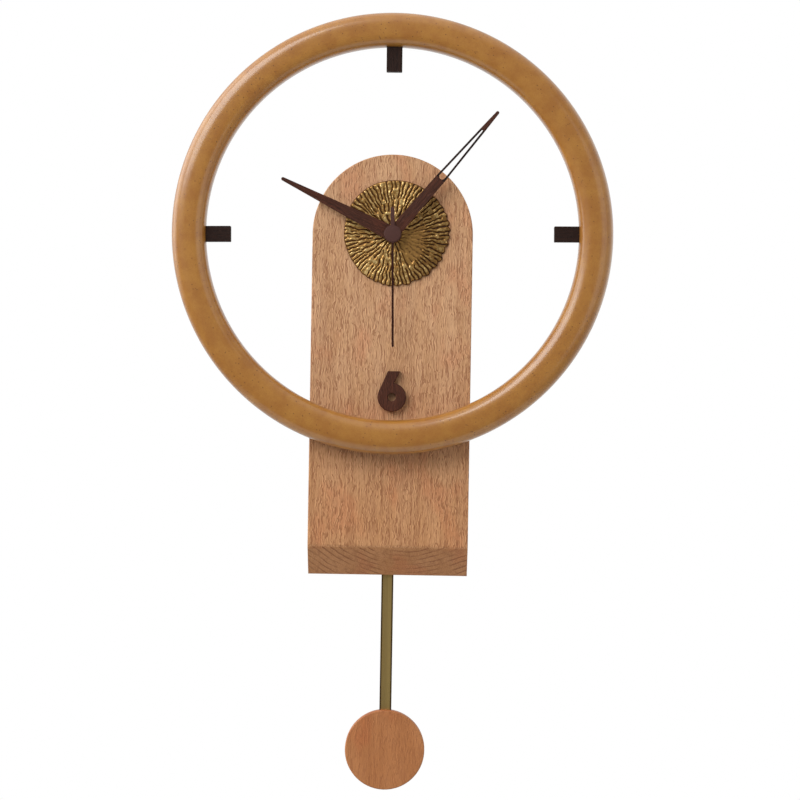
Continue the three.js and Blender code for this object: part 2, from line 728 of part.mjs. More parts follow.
// ---------------------------------------------------------------- pendulum drive
function driveCase() {
  const { halfWidth, top, bottom, back, front } = DRIVE;
  const wall = CASE.wall;
  return cut(
    box(-halfWidth, halfWidth, bottom, top, back, front),
    box(-halfWidth + wall, halfWidth - wall, bottom + wall, top - wall, back + wall, front + 1),
    disc(0, PIVOT_Z, 1.6, back - 1, back + wall + 1, 14),
  );
}

add("drive_case", "black_plastic", driveCase());
add("drive_lid", "black_plastic", box(
  -DRIVE.halfWidth + CASE.wall + 0.2, DRIVE.halfWidth - CASE.wall - 0.2,
  DRIVE.bottom + CASE.wall + 0.2, DRIVE.top - CASE.wall - 0.2,
  DRIVE.front - 1.2, DRIVE.front,
));
const DRIVE_COIL_Z = -66;
add("drive_coil", "copper", tube(
  0, DRIVE_COIL_Z, 8, 2.4, DRIVE.back + CASE.wall + 0.2, DRIVE.back + CASE.wall + 5, 24,
));
add("drive_circuit_board", "circuit_green", box(
  -18, 18, DRIVE_COIL_Z + 12, PIVOT_Z - 4, DRIVE.back + 5, DRIVE.back + 6,
));
const ARM = { back: 8.9, front: 10.3, bossFront: 11.2 };
add("pivot_pin", "steel", turned(0, PIVOT_Z, [
  [0, ARM.back - 1.2], [2.8, ARM.back - 1.2], [2.8, ARM.back - 0.2], [1.5, ARM.back - 0.2],
  [1.5, DRIVE.back + 3], [0, DRIVE.back + 3],
], 14));

// ---------------------------------------------------------------- pendulum
// The swing arm: an eye at the pivot, a boss for the magnet, and a peg that the rod hangs on.
function swingArm() {
  const boss = 7;
  const neck = 4.5;
  const outline = [
    ...arc(0, PIVOT_Z, 5.5, 0, 180, 12),
    new THREE.Vector2(-neck, DRIVE_COIL_Z + 9),
    ...arc(0, DRIVE_COIL_Z, boss, 130, 230, 8),
    new THREE.Vector2(-neck, PENDULUM.pegZ + 4),
    ...arc(0, PENDULUM.pegZ, 4.5, 180, 360, 10),
    new THREE.Vector2(neck, PENDULUM.pegZ + 4),
    ...arc(0, DRIVE_COIL_Z, boss, -50, 50, 8),
    new THREE.Vector2(neck, DRIVE_COIL_Z + 9),
  ];
  return cut(
    join(
      plate(outline, ARM.back, ARM.front, circle(0, PIVOT_Z, 1.75, 16)),
      disc(0, DRIVE_COIL_Z, boss - 1, ARM.back, ARM.bossFront, 20),
      disc(0, PENDULUM.pegZ, 1.5, 3.2, ARM.back + 1, 14),
      disc(0, PENDULUM.pegZ + 0.4, 1.9, 3.2, 3.8, 14),
    ),
    disc(0, DRIVE_COIL_Z, 4.4, ARM.back + 0.6, ARM.bossFront + 1, 20),
  );
}

add("swing_arm", "white_plastic", swingArm());
add("arm_magnet", "magnet", disc(
  0, DRIVE_COIL_Z, 4.2, ARM.back + 0.8, ARM.bossFront - 0.1, 20,
));

// A flat bar with softened edges, drawn in plan and stretched down its length.
function pendulumRod() {
  const { rodWidth, rodThickness, rodDepth, pegZ, rodTop } = PENDULUM;
  const half = rodWidth / 2;
  const soft = 0.8;
  const back = rodDepth - rodThickness / 2;
  const front = rodDepth + rodThickness / 2;
  const bottom = BOB.z - 8;
  const plan = [
    [half - soft, -front], [half, -front + soft], [half, -back - soft], [half - soft, -back],
    [-half + soft, -back], [-half, -back - soft], [-half, -front + soft], [-half + soft, -front],
  ].map((p) => new THREE.Vector2(...p));
  const bar = new THREE.ExtrudeGeometry(new THREE.Shape(plan), {
    depth: rodTop - bottom,
    bevelEnabled: false,
  });
  bar.translate(0, 0, bottom);
  return cut(
    bar,
    disc(0, pegZ - 0.4, 2.1, back - 1, front + 1, 16),
    disc(0, BOB.z, 1.7, back - 1, front + 1, 12),
  );
}

add("pendulum_rod", "antique_brass", pendulumRod());

function bobWithMortise() {
  const { z, radius, back, front, edge } = BOB;
  const { rodWidth, rodThickness, rodDepth } = PENDULUM;
  const body = turned(0, z, [
    [0, back], [radius - edge, back], [radius, back + edge],
    [radius, front - edge], [radius - edge, front], [0, front],
  ], 64);
  const mortise = box(
    -rodWidth / 2 - GAP, rodWidth / 2 + GAP, z - 8 - GAP, z + radius + 1,
    rodDepth - rodThickness / 2 - GAP, rodDepth + rodThickness / 2 + GAP,
  );
  const screwWay = disc(0, z, 1.7, back - 1, front - 3, 12);
  return cut(body, mortise, screwWay, disc(0, z, 3.2, back - 1, back + 1.3, 16));
}

add("pendulum_bob", "beech", bobWithMortise());
add("bob_screw", "brass", turned(0, BOB.z, [
  [0, BOB.back + 0.1], [2.9, BOB.back + 0.1], [2.9, BOB.back + 1.2], [1.4, BOB.back + 1.2],
  [1.4, BOB.front - 3.4], [0, BOB.front - 3.4],
], 14));

// ---------------------------------------------------------------- hanging hardware
add("hanger_plate", "steel", cut(
  plate(hangerOutline(0), BOARD.back, BOARD.back + HANGER.thickness, keyhole(0)),
  ...[-HANGER_SCREW_X, HANGER_SCREW_X].map((x) =>
    screwHole(x, hangerZ, 1.6, 3.1, BOARD.back, 1.2, BOARD.back + 3)),
));

function woodScrew(x, z, head, shank, headBack, headDepth, tip) {
  return turned(x, z, [
    [0, headBack], [head, headBack], [shank, headBack + headDepth],
    [shank, tip - 3 * shank], [0.3, tip], [0, tip],
  ], 12);
}

for (const [side, x] of [["left", -HANGER_SCREW_X], ["right", HANGER_SCREW_X]]) {
  add(`hanger_screw_${side}`, "steel",
    woodScrew(x, hangerZ, 2.8, 1.3, BOARD.back + 0.1, 1.2, BOARD.back + 14));
}
for (const [side, x] of [["left", -RING_SCREW_X], ["right", RING_SCREW_X]]) {
  add(`ring_screw_${side}`, "steel", woodScrew(
    x, ringScrewZ, RING_SCREW.head, RING_SCREW.shank, SLOT.floor + 0.1, RING_SCREW.headDepth,
    RING_SCREW.tip,
  ));
}
add("ring_dowel", "beech", disc(0, -RING.radius, DOWEL.radius, DOWEL.back, DOWEL.front, 16));

const PAD = { radius: 6, x: { upper: 48, lower: 61 }, z: { upper: 22, lower: -296 } };
for (const row of ["upper", "lower"]) {
  for (const [side, sign] of [["left", -1], ["right", 1]]) {
    add(`wall_pad_${row}_${side}`, "felt",
      disc(sign * PAD.x[row], PAD.z[row], PAD.radius, 0, BOARD.back, 16));
  }
}

const root = new THREE.Group();
root.add(clock);
export default root;
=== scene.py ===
"""Looks for a pendulum wall clock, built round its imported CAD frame.

Lengths in this file are millimetres, and shapes are drawn in the clock's own frame: x to the
right, z up from the hand axis, and depth counted from the wall towards the front.
"""

import json
import math

import bmesh
import bpy
from mathutils import Matrix, Vector, noise


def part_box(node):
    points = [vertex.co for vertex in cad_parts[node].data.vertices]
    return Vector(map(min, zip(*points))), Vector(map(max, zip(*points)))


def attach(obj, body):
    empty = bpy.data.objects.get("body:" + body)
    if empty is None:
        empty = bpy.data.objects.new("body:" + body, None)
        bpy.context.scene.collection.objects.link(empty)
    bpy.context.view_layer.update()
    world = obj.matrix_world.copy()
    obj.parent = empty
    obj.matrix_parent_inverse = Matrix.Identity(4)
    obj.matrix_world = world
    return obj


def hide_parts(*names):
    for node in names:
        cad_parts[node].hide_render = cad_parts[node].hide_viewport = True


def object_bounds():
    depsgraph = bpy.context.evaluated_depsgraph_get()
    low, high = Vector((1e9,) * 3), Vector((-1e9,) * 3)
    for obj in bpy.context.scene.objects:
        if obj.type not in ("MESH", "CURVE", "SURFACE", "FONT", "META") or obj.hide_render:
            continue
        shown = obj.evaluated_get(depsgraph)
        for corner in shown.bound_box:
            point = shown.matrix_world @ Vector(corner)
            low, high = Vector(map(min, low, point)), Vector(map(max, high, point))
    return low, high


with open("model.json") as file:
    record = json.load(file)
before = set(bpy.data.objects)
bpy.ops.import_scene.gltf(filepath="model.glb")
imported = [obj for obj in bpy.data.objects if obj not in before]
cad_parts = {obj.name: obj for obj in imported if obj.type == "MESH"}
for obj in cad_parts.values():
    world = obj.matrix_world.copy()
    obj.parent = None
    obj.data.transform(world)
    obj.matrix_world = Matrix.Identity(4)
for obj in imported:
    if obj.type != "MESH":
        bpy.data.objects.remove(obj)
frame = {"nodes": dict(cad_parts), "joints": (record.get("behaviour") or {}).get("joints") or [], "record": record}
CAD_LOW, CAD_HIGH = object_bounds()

MM = 0.001
JOINTS = {joint["name"]: joint for joint in frame["joints"]}
HAND_AXIS = Vector((0, 0, JOINTS["minute_spin"]["pos_m"][2]))
PIVOT_Z = (JOINTS["pendulum_swing"]["pos_m"][2] - HAND_AXIS.z) / MM
SLOT_OF = {row["node"]: row["material_slot"] for row in frame["record"]["subparts"]}
BODY_OF = {
    node: body
    for body, nodes in frame["record"]["behaviour"]["bodies"].items()
    for node in nodes
}


class Box:
    """A CAD node's box in millimetres: x and z from the hand axis, depth from the wall."""

    def __init__(self, node):
        low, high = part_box(node)
        self.left, self.right = low.x / MM, high.x / MM
        self.bottom, self.top = (low.z - HAND_AXIS.z) / MM, (high.z - HAND_AXIS.z) / MM
        self.back, self.front = -high.y / MM, -low.y / MM
        self.x = (self.left + self.right) / 2
        self.z = (self.bottom + self.top) / 2
        self.radius = (self.right - self.left) / 2

    def slab(self, outline, bevel=0.0, holes=()):
        """A plate as thick as the box."""
        return slab_mesh(outline, self.back, self.front, bevel, holes)

    def outline(self, radius, grow=0.0):
        return rounded_box(
            self.left - grow, self.right + grow, self.bottom - grow, self.top + grow, radius,
        )


# ---- outlines
def arc(x, z, radius, start, end, steps):
    """Points on an arc, angles in degrees anticlockwise from +x."""
    angles = [math.radians(start + (end - start) * i / steps) for i in range(steps + 1)]
    return [(x + radius * math.cos(a), z + radius * math.sin(a)) for a in angles]


def circle(x, z, radius, steps=64):
    return arc(x, z, radius, 0, 360 - 360 / steps, steps - 1)


def rounded_box(left, right, bottom, top, radius, steps=6):
    """A rectangle with round corners."""
    corners = [
        (right - radius, top - radius, 0),
        (left + radius, top - radius, 90),
        (left + radius, bottom + radius, 180),
        (right - radius, bottom + radius, 270),
    ]
    return [p for x, z, a in corners for p in arc(x, z, radius, a, a + 90, steps)]


def signed_area(loop):
    pairs = zip(loop, loop[1:] + loop[:1])
    return sum(a[0] * b[1] - b[0] * a[1] for a, b in pairs) / 2


def moved_in(loop, distance):
    """The loop moved towards its left by a distance, which is into the material."""
    points = []
    count = len(loop)
    for i in range(count):
        here = Vector(loop[i])
        before = (here - Vector(loop[i - 1])).normalized()
        after = (Vector(loop[(i + 1) % count]) - here).normalized()
        left_before = Vector((-before.y, before.x))
        left_after = Vector((-after.y, after.x))
        mitre = left_before + left_after
        scale = distance / max(mitre.length_squared / 2, 0.3)
        points.append(tuple(here + mitre * scale))
    return points


# ---- meshes
def put(name, data, place):
    """An object in the scene, at a place given as a matrix."""
    obj = bpy.data.objects.new(name, data)
    bpy.context.scene.collection.objects.link(obj)
    obj.matrix_world = place
    return obj


def new_object(name, bm, material=None, turn=0.0):
    """An object in the clock's frame, turned about the hand axis by degrees clockwise."""
    mesh = bpy.data.meshes.new(name)
    bmesh.ops.recalc_face_normals(bm, faces=bm.faces)
    bm.to_mesh(mesh)
    bm.free()
    if material:
        mesh.materials.append(material)
    spin = Matrix.Rotation(math.radians(turn), 4, "Y")
    return put(name, mesh, Matrix.Translation(HAND_AXIS) @ spin)


def at(x, depth, z):
    return Vector((x * MM, -depth * MM, z * MM))


def skin(bm, rows):
    """Faces between neighbouring rows of points, each row closed on itself."""
    for low, high in zip(rows, rows[1:]):
        for i in range(len(low)):
            bm.faces.new((low[i - 1], low[i], high[i], high[i - 1]))


def edge_profile(back, front, bevel, steps):
    """(inset, depth) pairs from the rim of the back face to the rim of the front face."""
    turns = [math.pi / 2 * i / steps for i in range(steps + 1)]
    rear = [(bevel * (1 - math.sin(a)), back + bevel * (1 - math.cos(a))) for a in turns]
    fore = [(bevel * (1 - math.cos(a)), front - bevel * (1 - math.sin(a))) for a in turns]
    return rear + fore


def slab_mesh(outline, back, front, bevel=0.0, holes=(), steps=3):
    """A plate with an outline, holes, and rounded front and back edges."""
    loops = [outline if signed_area(outline) > 0 else outline[::-1]]
    loops += [hole if signed_area(hole) < 0 else hole[::-1] for hole in holes]
    profile = edge_profile(back, front, bevel, steps) if bevel else [(0, back), (0, front)]
    bm = bmesh.new()
    caps = {0: [], len(profile) - 1: []}
    for loop in loops:
        rows = []
        for inset, depth in profile:
            points = moved_in(loop, inset) if inset else loop
            rows.append([bm.verts.new(at(x, depth, z)) for x, z in points])
        skin(bm, rows)
        for index, edges in caps.items():
            row = rows[index]
            edges += [bm.edges.get((row[i - 1], row[i])) for i in range(len(row))]
    for index, edges in caps.items():
        if len(loops) == 1:
            bmesh.ops.contextual_create(bm, geom=edges)
        else:
            bmesh.ops.triangle_fill(bm, use_beauty=True, edges=edges)
    return bm


def lathe_mesh(x, z, profile, steps=64):
    """A solid turned about an axis along the depth, from (radius, depth) pairs."""
    bm = bmesh.new()
    rows = []
    for radius, depth in profile:
        if radius == 0:
            rows.append([bm.verts.new(at(x, depth, z))])
            continue
        rows.append([bm.verts.new(at(px, depth, pz)) for px, pz in circle(x, z, radius, steps)])
    closed = profile[0][0] > 0
    for low, high in zip(rows, rows[1:] + (rows[:1] if closed else [])):
        for i in range(steps):
            ring = [low[(i - 1) % len(low)], low[i % len(low)]]
            ring += [high[i % len(high)], high[(i - 1) % len(high)]]
            corners = list(dict.fromkeys(ring))
            if len(corners) > 2:
                bm.faces.new(corners)
    return bm


def lay_along_x(bm, x, depth, z):
    """Turns a mesh made about the axis x = z = 0 so that its depth runs along x."""
    turn = Matrix.Rotation(math.radians(90), 4, "Z")
    bmesh.ops.transform(bm, matrix=Matrix.Translation(at(x, depth, z)) @ turn, verts=bm.verts)
    return bm


def tube_mesh(path, radius, sides=10):
    """A round wire along a list of points, given as (x, depth, z)."""
    bm = bmesh.new()
    points = [at(*p) for p in path]
    rows = []
    for i, point in enumerate(points):
        ahead = points[min(i + 1, len(points) - 1)] - points[max(i - 1, 0)]
        side = ahead.cross(Vector((1, 0, 0))).normalized()
        up = side.cross(ahead).normalized()
        ring = []
        for k in range(sides):
            a = 2 * math.pi * k / sides
            offset = side * math.cos(a) + up * math.sin(a)
            ring.append(bm.verts.new(point + offset * radius * MM))
        rows.append(ring)
    skin(bm, rows)
    bm.faces.new(rows[0])
    bm.faces.new(rows[-1])
    return bm


def cut(bm, *tools):
    """A mesh with the tools' solids taken out of it."""
    for tool in tools:
        body, cutter = new_object("body", bm), new_object("cutter", tool)
        modifier = body.modifiers.new("cut", "BOOLEAN")
        modifier.operation = "DIFFERENCE"
        modifier.solver = "EXACT"
        modifier.object = cutter
        bpy.context.view_layer.update()
        graph = bpy.context.evaluated_depsgraph_get()
        result = bpy.data.meshes.new_from_object(body.evaluated_get(graph))
        bm = bmesh.new()
        bm.from_mesh(result)
        for mesh in (result, body.data, cutter.data):
            bpy.data.meshes.remove(mesh)
    return bm


def joined(*meshes):
    """Several closed meshes as one."""
    whole = meshes[0]
    for bm in meshes[1:]:
        part = bpy.data.meshes.new("part")
        bm.to_mesh(part)
        bm.free()
        whole.from_mesh(part)
        bpy.data.meshes.remove(part)
    return whole


# ---- shader nodes
def linear(red, green, blue):
    """A colour given as it looks on screen, 0 to 255, in the shader's linear values."""
    channels = [c / 255 for c in (red, green, blue)]
    return (*[c / 12.92 if c <= 0.04045 else ((c + 0.055) / 1.055) ** 2.4 for c in channels], 1)


def scaled(colour, share):
    """A colour made darker or lighter."""
    return (*[min(c * share, 1) for c in colour[:3]], 1)


class Nodes:
    """Short calls that add nodes to a tree. A value may be a number, a colour or a socket."""

    def __init__(self, tree):
        self.tree = tree

    def set(self, socket, value):
        if isinstance(value, bpy.types.NodeSocket):
            self.tree.links.new(value, socket)
        else:
            socket.default_value = value

    def node(self, kind, values=(), **settings):
        """A new node with settings, and values for inputs given by name or number."""
        node = self.tree.nodes.new(f"ShaderNode{kind}")
        for name, value in settings.items():
            setattr(node, name, value)
        for key, value in dict(values).items():
            self.set(node.inputs[key], value)
        return node

    def vector(self, operation, a, b):
        """Vector maths. For SCALE, b is a number."""
        second = "Scale" if operation == "SCALE" else 1
        node = self.node("VectorMath", {0: a, second: b}, operation=operation)
        return node.outputs["Value" if operation == "DOT_PRODUCT" else "Vector"]

    def math(self, operation, a, b=0.0, c=0.0):
        return self.node("Math", enumerate((a, b, c)), operation=operation).outputs[0]

    def times(self, a, b):
        return self.math("MULTIPLY", a, b)

    def ramp(self, value, low, high, to_low=0.0, to_high=1.0):
        """The value's stretch from low to high, smoothly taken to another."""
        values = {
            "Value": value, "From Min": low, "From Max": high, "To Min": to_low, "To Max": to_high,
        }
        return self.node("MapRange", values, interpolation_type="SMOOTHSTEP").outputs["Result"]

    def mix(self, share, a, b, blend="MIX"):
        values = {"Factor": share, "A": a, "B": b}
        return self.node("Mix", values, data_type="RGBA", blend_type=blend).outputs["Result"]

    def tinted(self, colour, *tint):
        """A colour multiplied by another."""
        return self.mix(1, colour, (*tint, 1), "MULTIPLY")


MATERIALS = {}


class Shader(Nodes):
    """A material, kept in MATERIALS. Its place is in millimetres in the piece's own frame."""

    def __init__(self, name, roughness=0.5, metallic=0.0, coat=0.0, coat_roughness=0.2, specular=0.5):
        MATERIALS[name] = bpy.data.materials.new(name)
        MATERIALS[name].use_nodes = True
        super().__init__(MATERIALS[name].node_tree)
        self.bsdf = self.tree.nodes["Principled BSDF"]
        self.look("Roughness", roughness)
        self.look("Metallic", metallic)
        self.look("Coat Weight", coat)
        self.look("Coat Roughness", coat_roughness)
        self.look("Specular IOR Level", specular)
        self.place = self.vector("SCALE", self.node("TexCoord").outputs["Object"], 1 / MM)

    def look(self, name, value):
        self.set(self.bsdf.inputs[name], value)

    def colour(self, value):
        self.look("Base Color", value)

    def roughness(self, value):
        self.look("Roughness", value)

    def bump(self, height, distance, strength=1.0):
        values = {"Height": height, "Distance": distance * MM, "Strength": strength}
        self.look("Normal", self.node("Bump", values).outputs["Normal"])

    def axes(self):
        """The place's x, y and z, each on its own."""
        return self.node("SeparateXYZ", {0: self.place}).outputs

    def texture(self, kind, stretch, place=None, **values):
        """A texture. Stretch is its features per millimetre, on all axes or on each."""
        each = stretch if isinstance(stretch, tuple) else (stretch,) * 3
        place = self.vector("MULTIPLY", place or self.place, each)
        return self.node(f"Tex{kind}", {"Vector": place, "Scale": 1, **values}).outputs

    def noise(self, stretch, place=None, detail=2.0, rough=0.5):
        """Noise from 0 to 1."""
        return self.texture("Noise", stretch, place, Detail=detail, Roughness=rough)["Fac"]

    def cells(self, stretch):
        """Distance to the nearest of scattered points."""
        return self.texture("Voronoi", stretch)["Distance"]


# ---- materials
def toned(shade, *rgb):
    return linear(*[c * shade for c in rgb])


def solid_wood(
    name, tones, pith, ring_gap, ring_depth, wobble, fleck, fleck_size, roughness,
    specular, coat=0.0, low_tint=0.0,
):
    """Solid wood with its grain along z, from (pale, mid, dark, warm) colours.

    Growth rings run round a pith line, given as (x, depth) in the wood's own frame. Rings
    are faint along the grain and stronger on sawn ends. Flecks are short dashes along z, and
    a pale line just beside each dark pore line is a painted highlight, for an embossed look.
    Low tint makes the wood darker and warmer towards the clock's foot: painted shade, as if
    less light reached its lower part.
    """
    pale, mid, dark, warm = tones
    # crest is a paler tone, used for light flecks and for the painted highlight lines beside the pores.
    crest = scaled(pale, 1.28)
    lean = 0.02  # how far the pith line moves sideways for each millimetre up
    wood = Shader(name, roughness=roughness, coat=coat, coat_roughness=0.35, specular=specular)
    x, y, z = wood.axes()
    x = wood.math("MULTIPLY_ADD", z, lean, wood.math("SUBTRACT", x, pith[0]))
    y = wood.math("ADD", y, pith[1])
    squares = wood.math("ADD", wood.times(x, x), wood.times(y, y))
    drift = wood.noise((0.02, 0.02, 0.004), detail=3)
    from_pith = wood.math("MULTIPLY_ADD", drift, wobble, wood.math("SQRT", squares))
    phase = wood.math("FRACT", wood.math("DIVIDE", from_pith, ring_gap))
    late = wood.times(wood.ramp(phase, 0.6, 0.94), wood.ramp(phase, 0.94, 1.0, 1, 0))
    thickness = wood.noise((0.06, 0.06, 0.001), detail=2)

    facing = wood.node("NewGeometry").outputs["Normal"]
    upright = wood.math("ABSOLUTE", wood.vector("DOT_PRODUCT", facing, (0, 0, 1)))
    sawn_end = wood.ramp(upright, 0.4, 0.64)
    ring_share = wood.times(late, wood.math("MULTIPLY_ADD", sawn_end, 0.6, ring_depth))
    ring_share = wood.times(ring_share, wood.ramp(thickness, 0.35, 0.6, 0.2, 1.4))

    along = wood.math("MULTIPLY_ADD", sawn_end, -0.7, 1)
    wide, tall = fleck_size
    sway = wood.texture("Noise", (0.05, 0.05, 0.09))["Color"]
    sway = wood.vector("SUBTRACT", sway, (0.5, 0.5, 0.5))
    bent = wood.vector("ADD", wood.place, wood.vector("MULTIPLY", sway, (4.5, 4.5, 0)))
    beside = wood.vector("ADD", bent, (0.8 * wide, 0, 0))
    breaks = wood.noise((0.5 / wide, 0.5 / wide, 0.8 / tall), bent, detail=1)
    cloud = wood.noise((0.05, 0.05, 0.014), detail=3)
    blush = wood.noise((0.035, 0.035, 0.02), detail=2)
    bands = wood.noise((0.22, 0.22, 0.006), bent, detail=3, rough=0.6)

    def strokes(place, low, high):
        """Thin broken lines along the grain."""
        fibre = wood.noise((0.58 / wide, 0.58 / wide, 0.2 / tall), place, detail=1)
        middle = wood.math("ABSOLUTE", wood.math("SUBTRACT", fibre, 0.5))
        line = wood.times(wood.ramp(middle, 0.02, 0.085, 1, 0), along)
        return wood.times(line, wood.ramp(breaks, low, high))

    pore_lines = strokes(bent, 0.36, 0.54)
    # Painted highlight: pale lines just beside the dark pore lines, as if light caught one edge of each pore.
    painted_highlight_lines = strokes(beside, 0.4, 0.6)
    specks = wood.noise((1.3 / wide, 1.3 / wide, 1.2 / tall), bent, detail=1, rough=0.4)

    base = pale
    for share, colour in (
        (wood.ramp(cloud, 0.3, 0.7), mid),
        (wood.ramp(blush, 0.5, 0.68, 0, 0.55), warm),
        (wood.ramp(bands, 0.48, 0.66, 0, 0.4 * fleck), dark),
        (ring_share, dark),
        (wood.ramp(specks, 0.5, 0.7, 0, 0.25 * fleck), dark),
        (wood.ramp(specks, 0.48, 0.3, 0, 0.35 * fleck), crest),
        (wood.times(painted_highlight_lines, 0.75 * fleck), crest),
        (wood.times(pore_lines, 0.92 * fleck), dark),
    ):
        base = wood.mix(share, base, colour)
    # Sawn ends are tinted darker: partly the real darker look of end grain, partly painted shade for the chamfer,
    # which faces down.
    base = wood.mix(sawn_end, base, wood.tinted(base, 0.87, 0.78, 0.65))
    # Painted shade: darker and warmer lower down, towards the foot.
    if low_tint:
        warmer = wood.tinted(base, 0.88, 0.74, 0.58)
        base = wood.mix(wood.ramp(z, -90, -280, 0, low_tint), base, warmer)
    wood.colour(base)
    wood.roughness(wood.ramp(specks, 0.3, 0.7, roughness - 0.06, roughness + 0.1))
    wood.bump(wood.math("SUBTRACT", painted_highlight_lines, pore_lines), 0.2, 0.5)


def beech(name, shade, warmth, fleck=0.8):
    """Steamed beech. Warmth above 0 takes blue and green out of it."""
    def tone(red, green, blue):
        return toned(shade, red, green * (1 - 0.5 * warmth), blue * (1 - warmth))
    solid_wood(
        name,
        (tone(203, 159, 120), tone(191, 145, 104), tone(138, 88, 56), tone(196, 132, 94)),
        pith=(12, 145), ring_gap=4.2, ring_depth=0.1, wobble=12, fleck=fleck,
        fleck_size=(1.0, 6.0), roughness=0.52, coat=0.05, specular=0.3, low_tint=0.7,
    )


def walnut(name, shade):
    solid_wood(
        name,
        (toned(shade, 96, 55, 40), toned(shade, 68, 37, 26), toned(shade, 34, 16, 10),
         toned(shade, 94, 45, 29)),
        pith=(-30, 20), ring_gap=2.6, ring_depth=0.25, wobble=8, fleck=0.6,
        fleck_size=(0.8, 8), roughness=0.55, specular=0.15,
    )


def honey_lacquer():
    """The ring: mottled honey-coloured stain with pores, under a satin lacquer."""
    wood = Shader("ring_wood", roughness=0.42, coat=1.0, coat_roughness=0.2, specular=0.35)
    mottle = wood.noise(0.07, detail=6, rough=0.66)
    grain = wood.noise(1.3, detail=4, rough=0.7)
    pores = wood.cells(0.3)
    few = wood.noise(0.12, detail=2)
    base = wood.mix(wood.ramp(mottle, 0.3, 0.72), linear(168, 115, 44), linear(152, 97, 32))
    base = wood.mix(wood.ramp(grain, 0.45, 0.75, 0, 0.4), base, linear(128, 76, 26))
    speck = wood.times(wood.ramp(pores, 0.1, 0.22, 1, 0), wood.ramp(few, 0.46, 0.56))
    base = wood.mix(wood.times(speck, 0.75), base, linear(84, 46, 16))
    wood.colour(base)
    wood.roughness(wood.ramp(grain, 0.3, 0.7, 0.36, 0.5))
    waves = wood.math("ADD", wood.times(mottle, 2.0), wood.times(grain, 0.05))
    wood.bump(waves, 0.1, 0.4)


def leaf_brass():
    """Antiqued brass: dark patina in the grooves, crests lighter as rubbed wear with a painted highlight, and
    painted shade towards the right.
    """
    brass = Shader("antique_brass", roughness=0.36, metallic=0.7)
    height = brass.node("Attribute", attribute_name="relief").outputs["Fac"]
    patina = brass.noise(0.5, detail=4, rough=0.6)
    wear_and_highlight = brass.math("ADD", height, brass.ramp(patina, 0.3, 0.7, -0.12, 0.12))
    base = brass.mix(brass.ramp(wear_and_highlight, 0.05, 0.45), linear(66, 36, 12), linear(164, 123, 65))
    # Crests paler and brighter: partly rubbed wear, partly a painted highlight.
    base = brass.mix(brass.ramp(wear_and_highlight, 0.75, 1.0), base, linear(230, 196, 130))
    # Painted shade: the leaf darkens towards its right side, as if that part tilted away from the light.
    painted_side_shade = brass.tinted(base, 0.62, 0.58, 0.52)
    base = brass.mix(brass.ramp(brass.axes()["X"], 8, 36), base, painted_side_shade)
    brass.colour(base)
    brass.roughness(brass.ramp(wear_and_highlight, 0.1, 0.9, 0.55, 0.3))
    brass.bump(patina, 0.05, 0.4)


def metal(name, colour, roughness, metallic=1.0):
    """A metal with fine brush marks and faint clouding."""
    shader = Shader(name, roughness=roughness, metallic=metallic)
    marks = shader.noise(0.8, detail=4, rough=0.7)
    cloud = shader.noise(0.12, detail=2)
    blend = shader.times(shader.ramp(marks, 0.3, 0.7), shader.ramp(cloud, 0.2, 0.8, 0.4, 1))
    shader.colour(shader.mix(blend, colour, scaled(colour, 0.75)))
    shader.roughness(shader.ramp(marks, 0.3, 0.7, roughness - 0.06, roughness + 0.1))
    shader.bump(marks, 0.01, 0.3)


def bronzed_bar():
    """The pendulum's bar: olive-gold faces, lighter right of the middle as a painted reflection, with painted
    shade along their long edges.
    """
    bar = Shader("bronzed_bar", roughness=0.3, metallic=0.9)
    half = Box("pendulum_rod").radius
    across = bar.axes()["X"]
    # Painted shade: a dark band towards each long edge.
    edge = bar.ramp(bar.math("ABSOLUTE", across), half * 0.66, half * 0.84)
    streak = bar.noise((3, 3, 0.02), detail=3, rough=0.6)
    # Painted reflection: the face is lighter to the right of its middle.
    base = bar.mix(bar.ramp(across, -1.2, 2.2), linear(192, 164, 104), linear(206, 177, 112))
    base = bar.mix(bar.ramp(streak, 0.35, 0.7, 0, 0.5), base, linear(158, 130, 76))
    bar.colour(bar.mix(edge, base, linear(74, 54, 26)))
    bar.roughness(bar.ramp(streak, 0.3, 0.7, 0.28, 0.4))
    bar.bump(streak, 0.01, 0.3)


def moulded(name, colour, roughness, speckle=0.12, specular=0.5):
    """Moulded plastic with a fine spark-eroded texture."""
    plastic = Shader(name, roughness=roughness, specular=specular)
    fine = plastic.noise(6, detail=2, rough=0.6)
    cloud = plastic.noise(0.1, detail=2)
    shade = scaled(colour, 1 - speckle)
    plastic.colour(plastic.mix(plastic.ramp(cloud, 0.3, 0.7), colour, shade))
    plastic.roughness(plastic.ramp(fine, 0.3, 0.7, roughness - 0.07, roughness + 0.07))
    plastic.bump(fine, 0.02, 0.35)


def hand_paint():
    """Brown paint on the second hand, darker along its needle."""
    paint = Shader("hand_paint", roughness=0.5, specular=0.15)
    fine = paint.noise(6, detail=2, rough=0.6)
    along = paint.axes()["Z"]
    disc = paint.mix(paint.ramp(fine, 0.3, 0.7), linear(82, 54, 49), linear(70, 44, 39))
    paint.colour(paint.mix(paint.ramp(along, 7.4, 8.4), disc, linear(46, 18, 10)))
    paint.bump(fine, 0.02, 0.35)


def felt():
    wool = Shader("felt", roughness=0.95)
    fuzz = wool.noise(4, detail=5, rough=0.75)
    wool.colour(wool.mix(wool.ramp(fuzz, 0.3, 0.7), linear(92, 86, 82), linear(52, 48, 46)))
    wool.look("Sheen Weight", 0.4)
    wool.bump(fuzz, 0.15, 0.8)


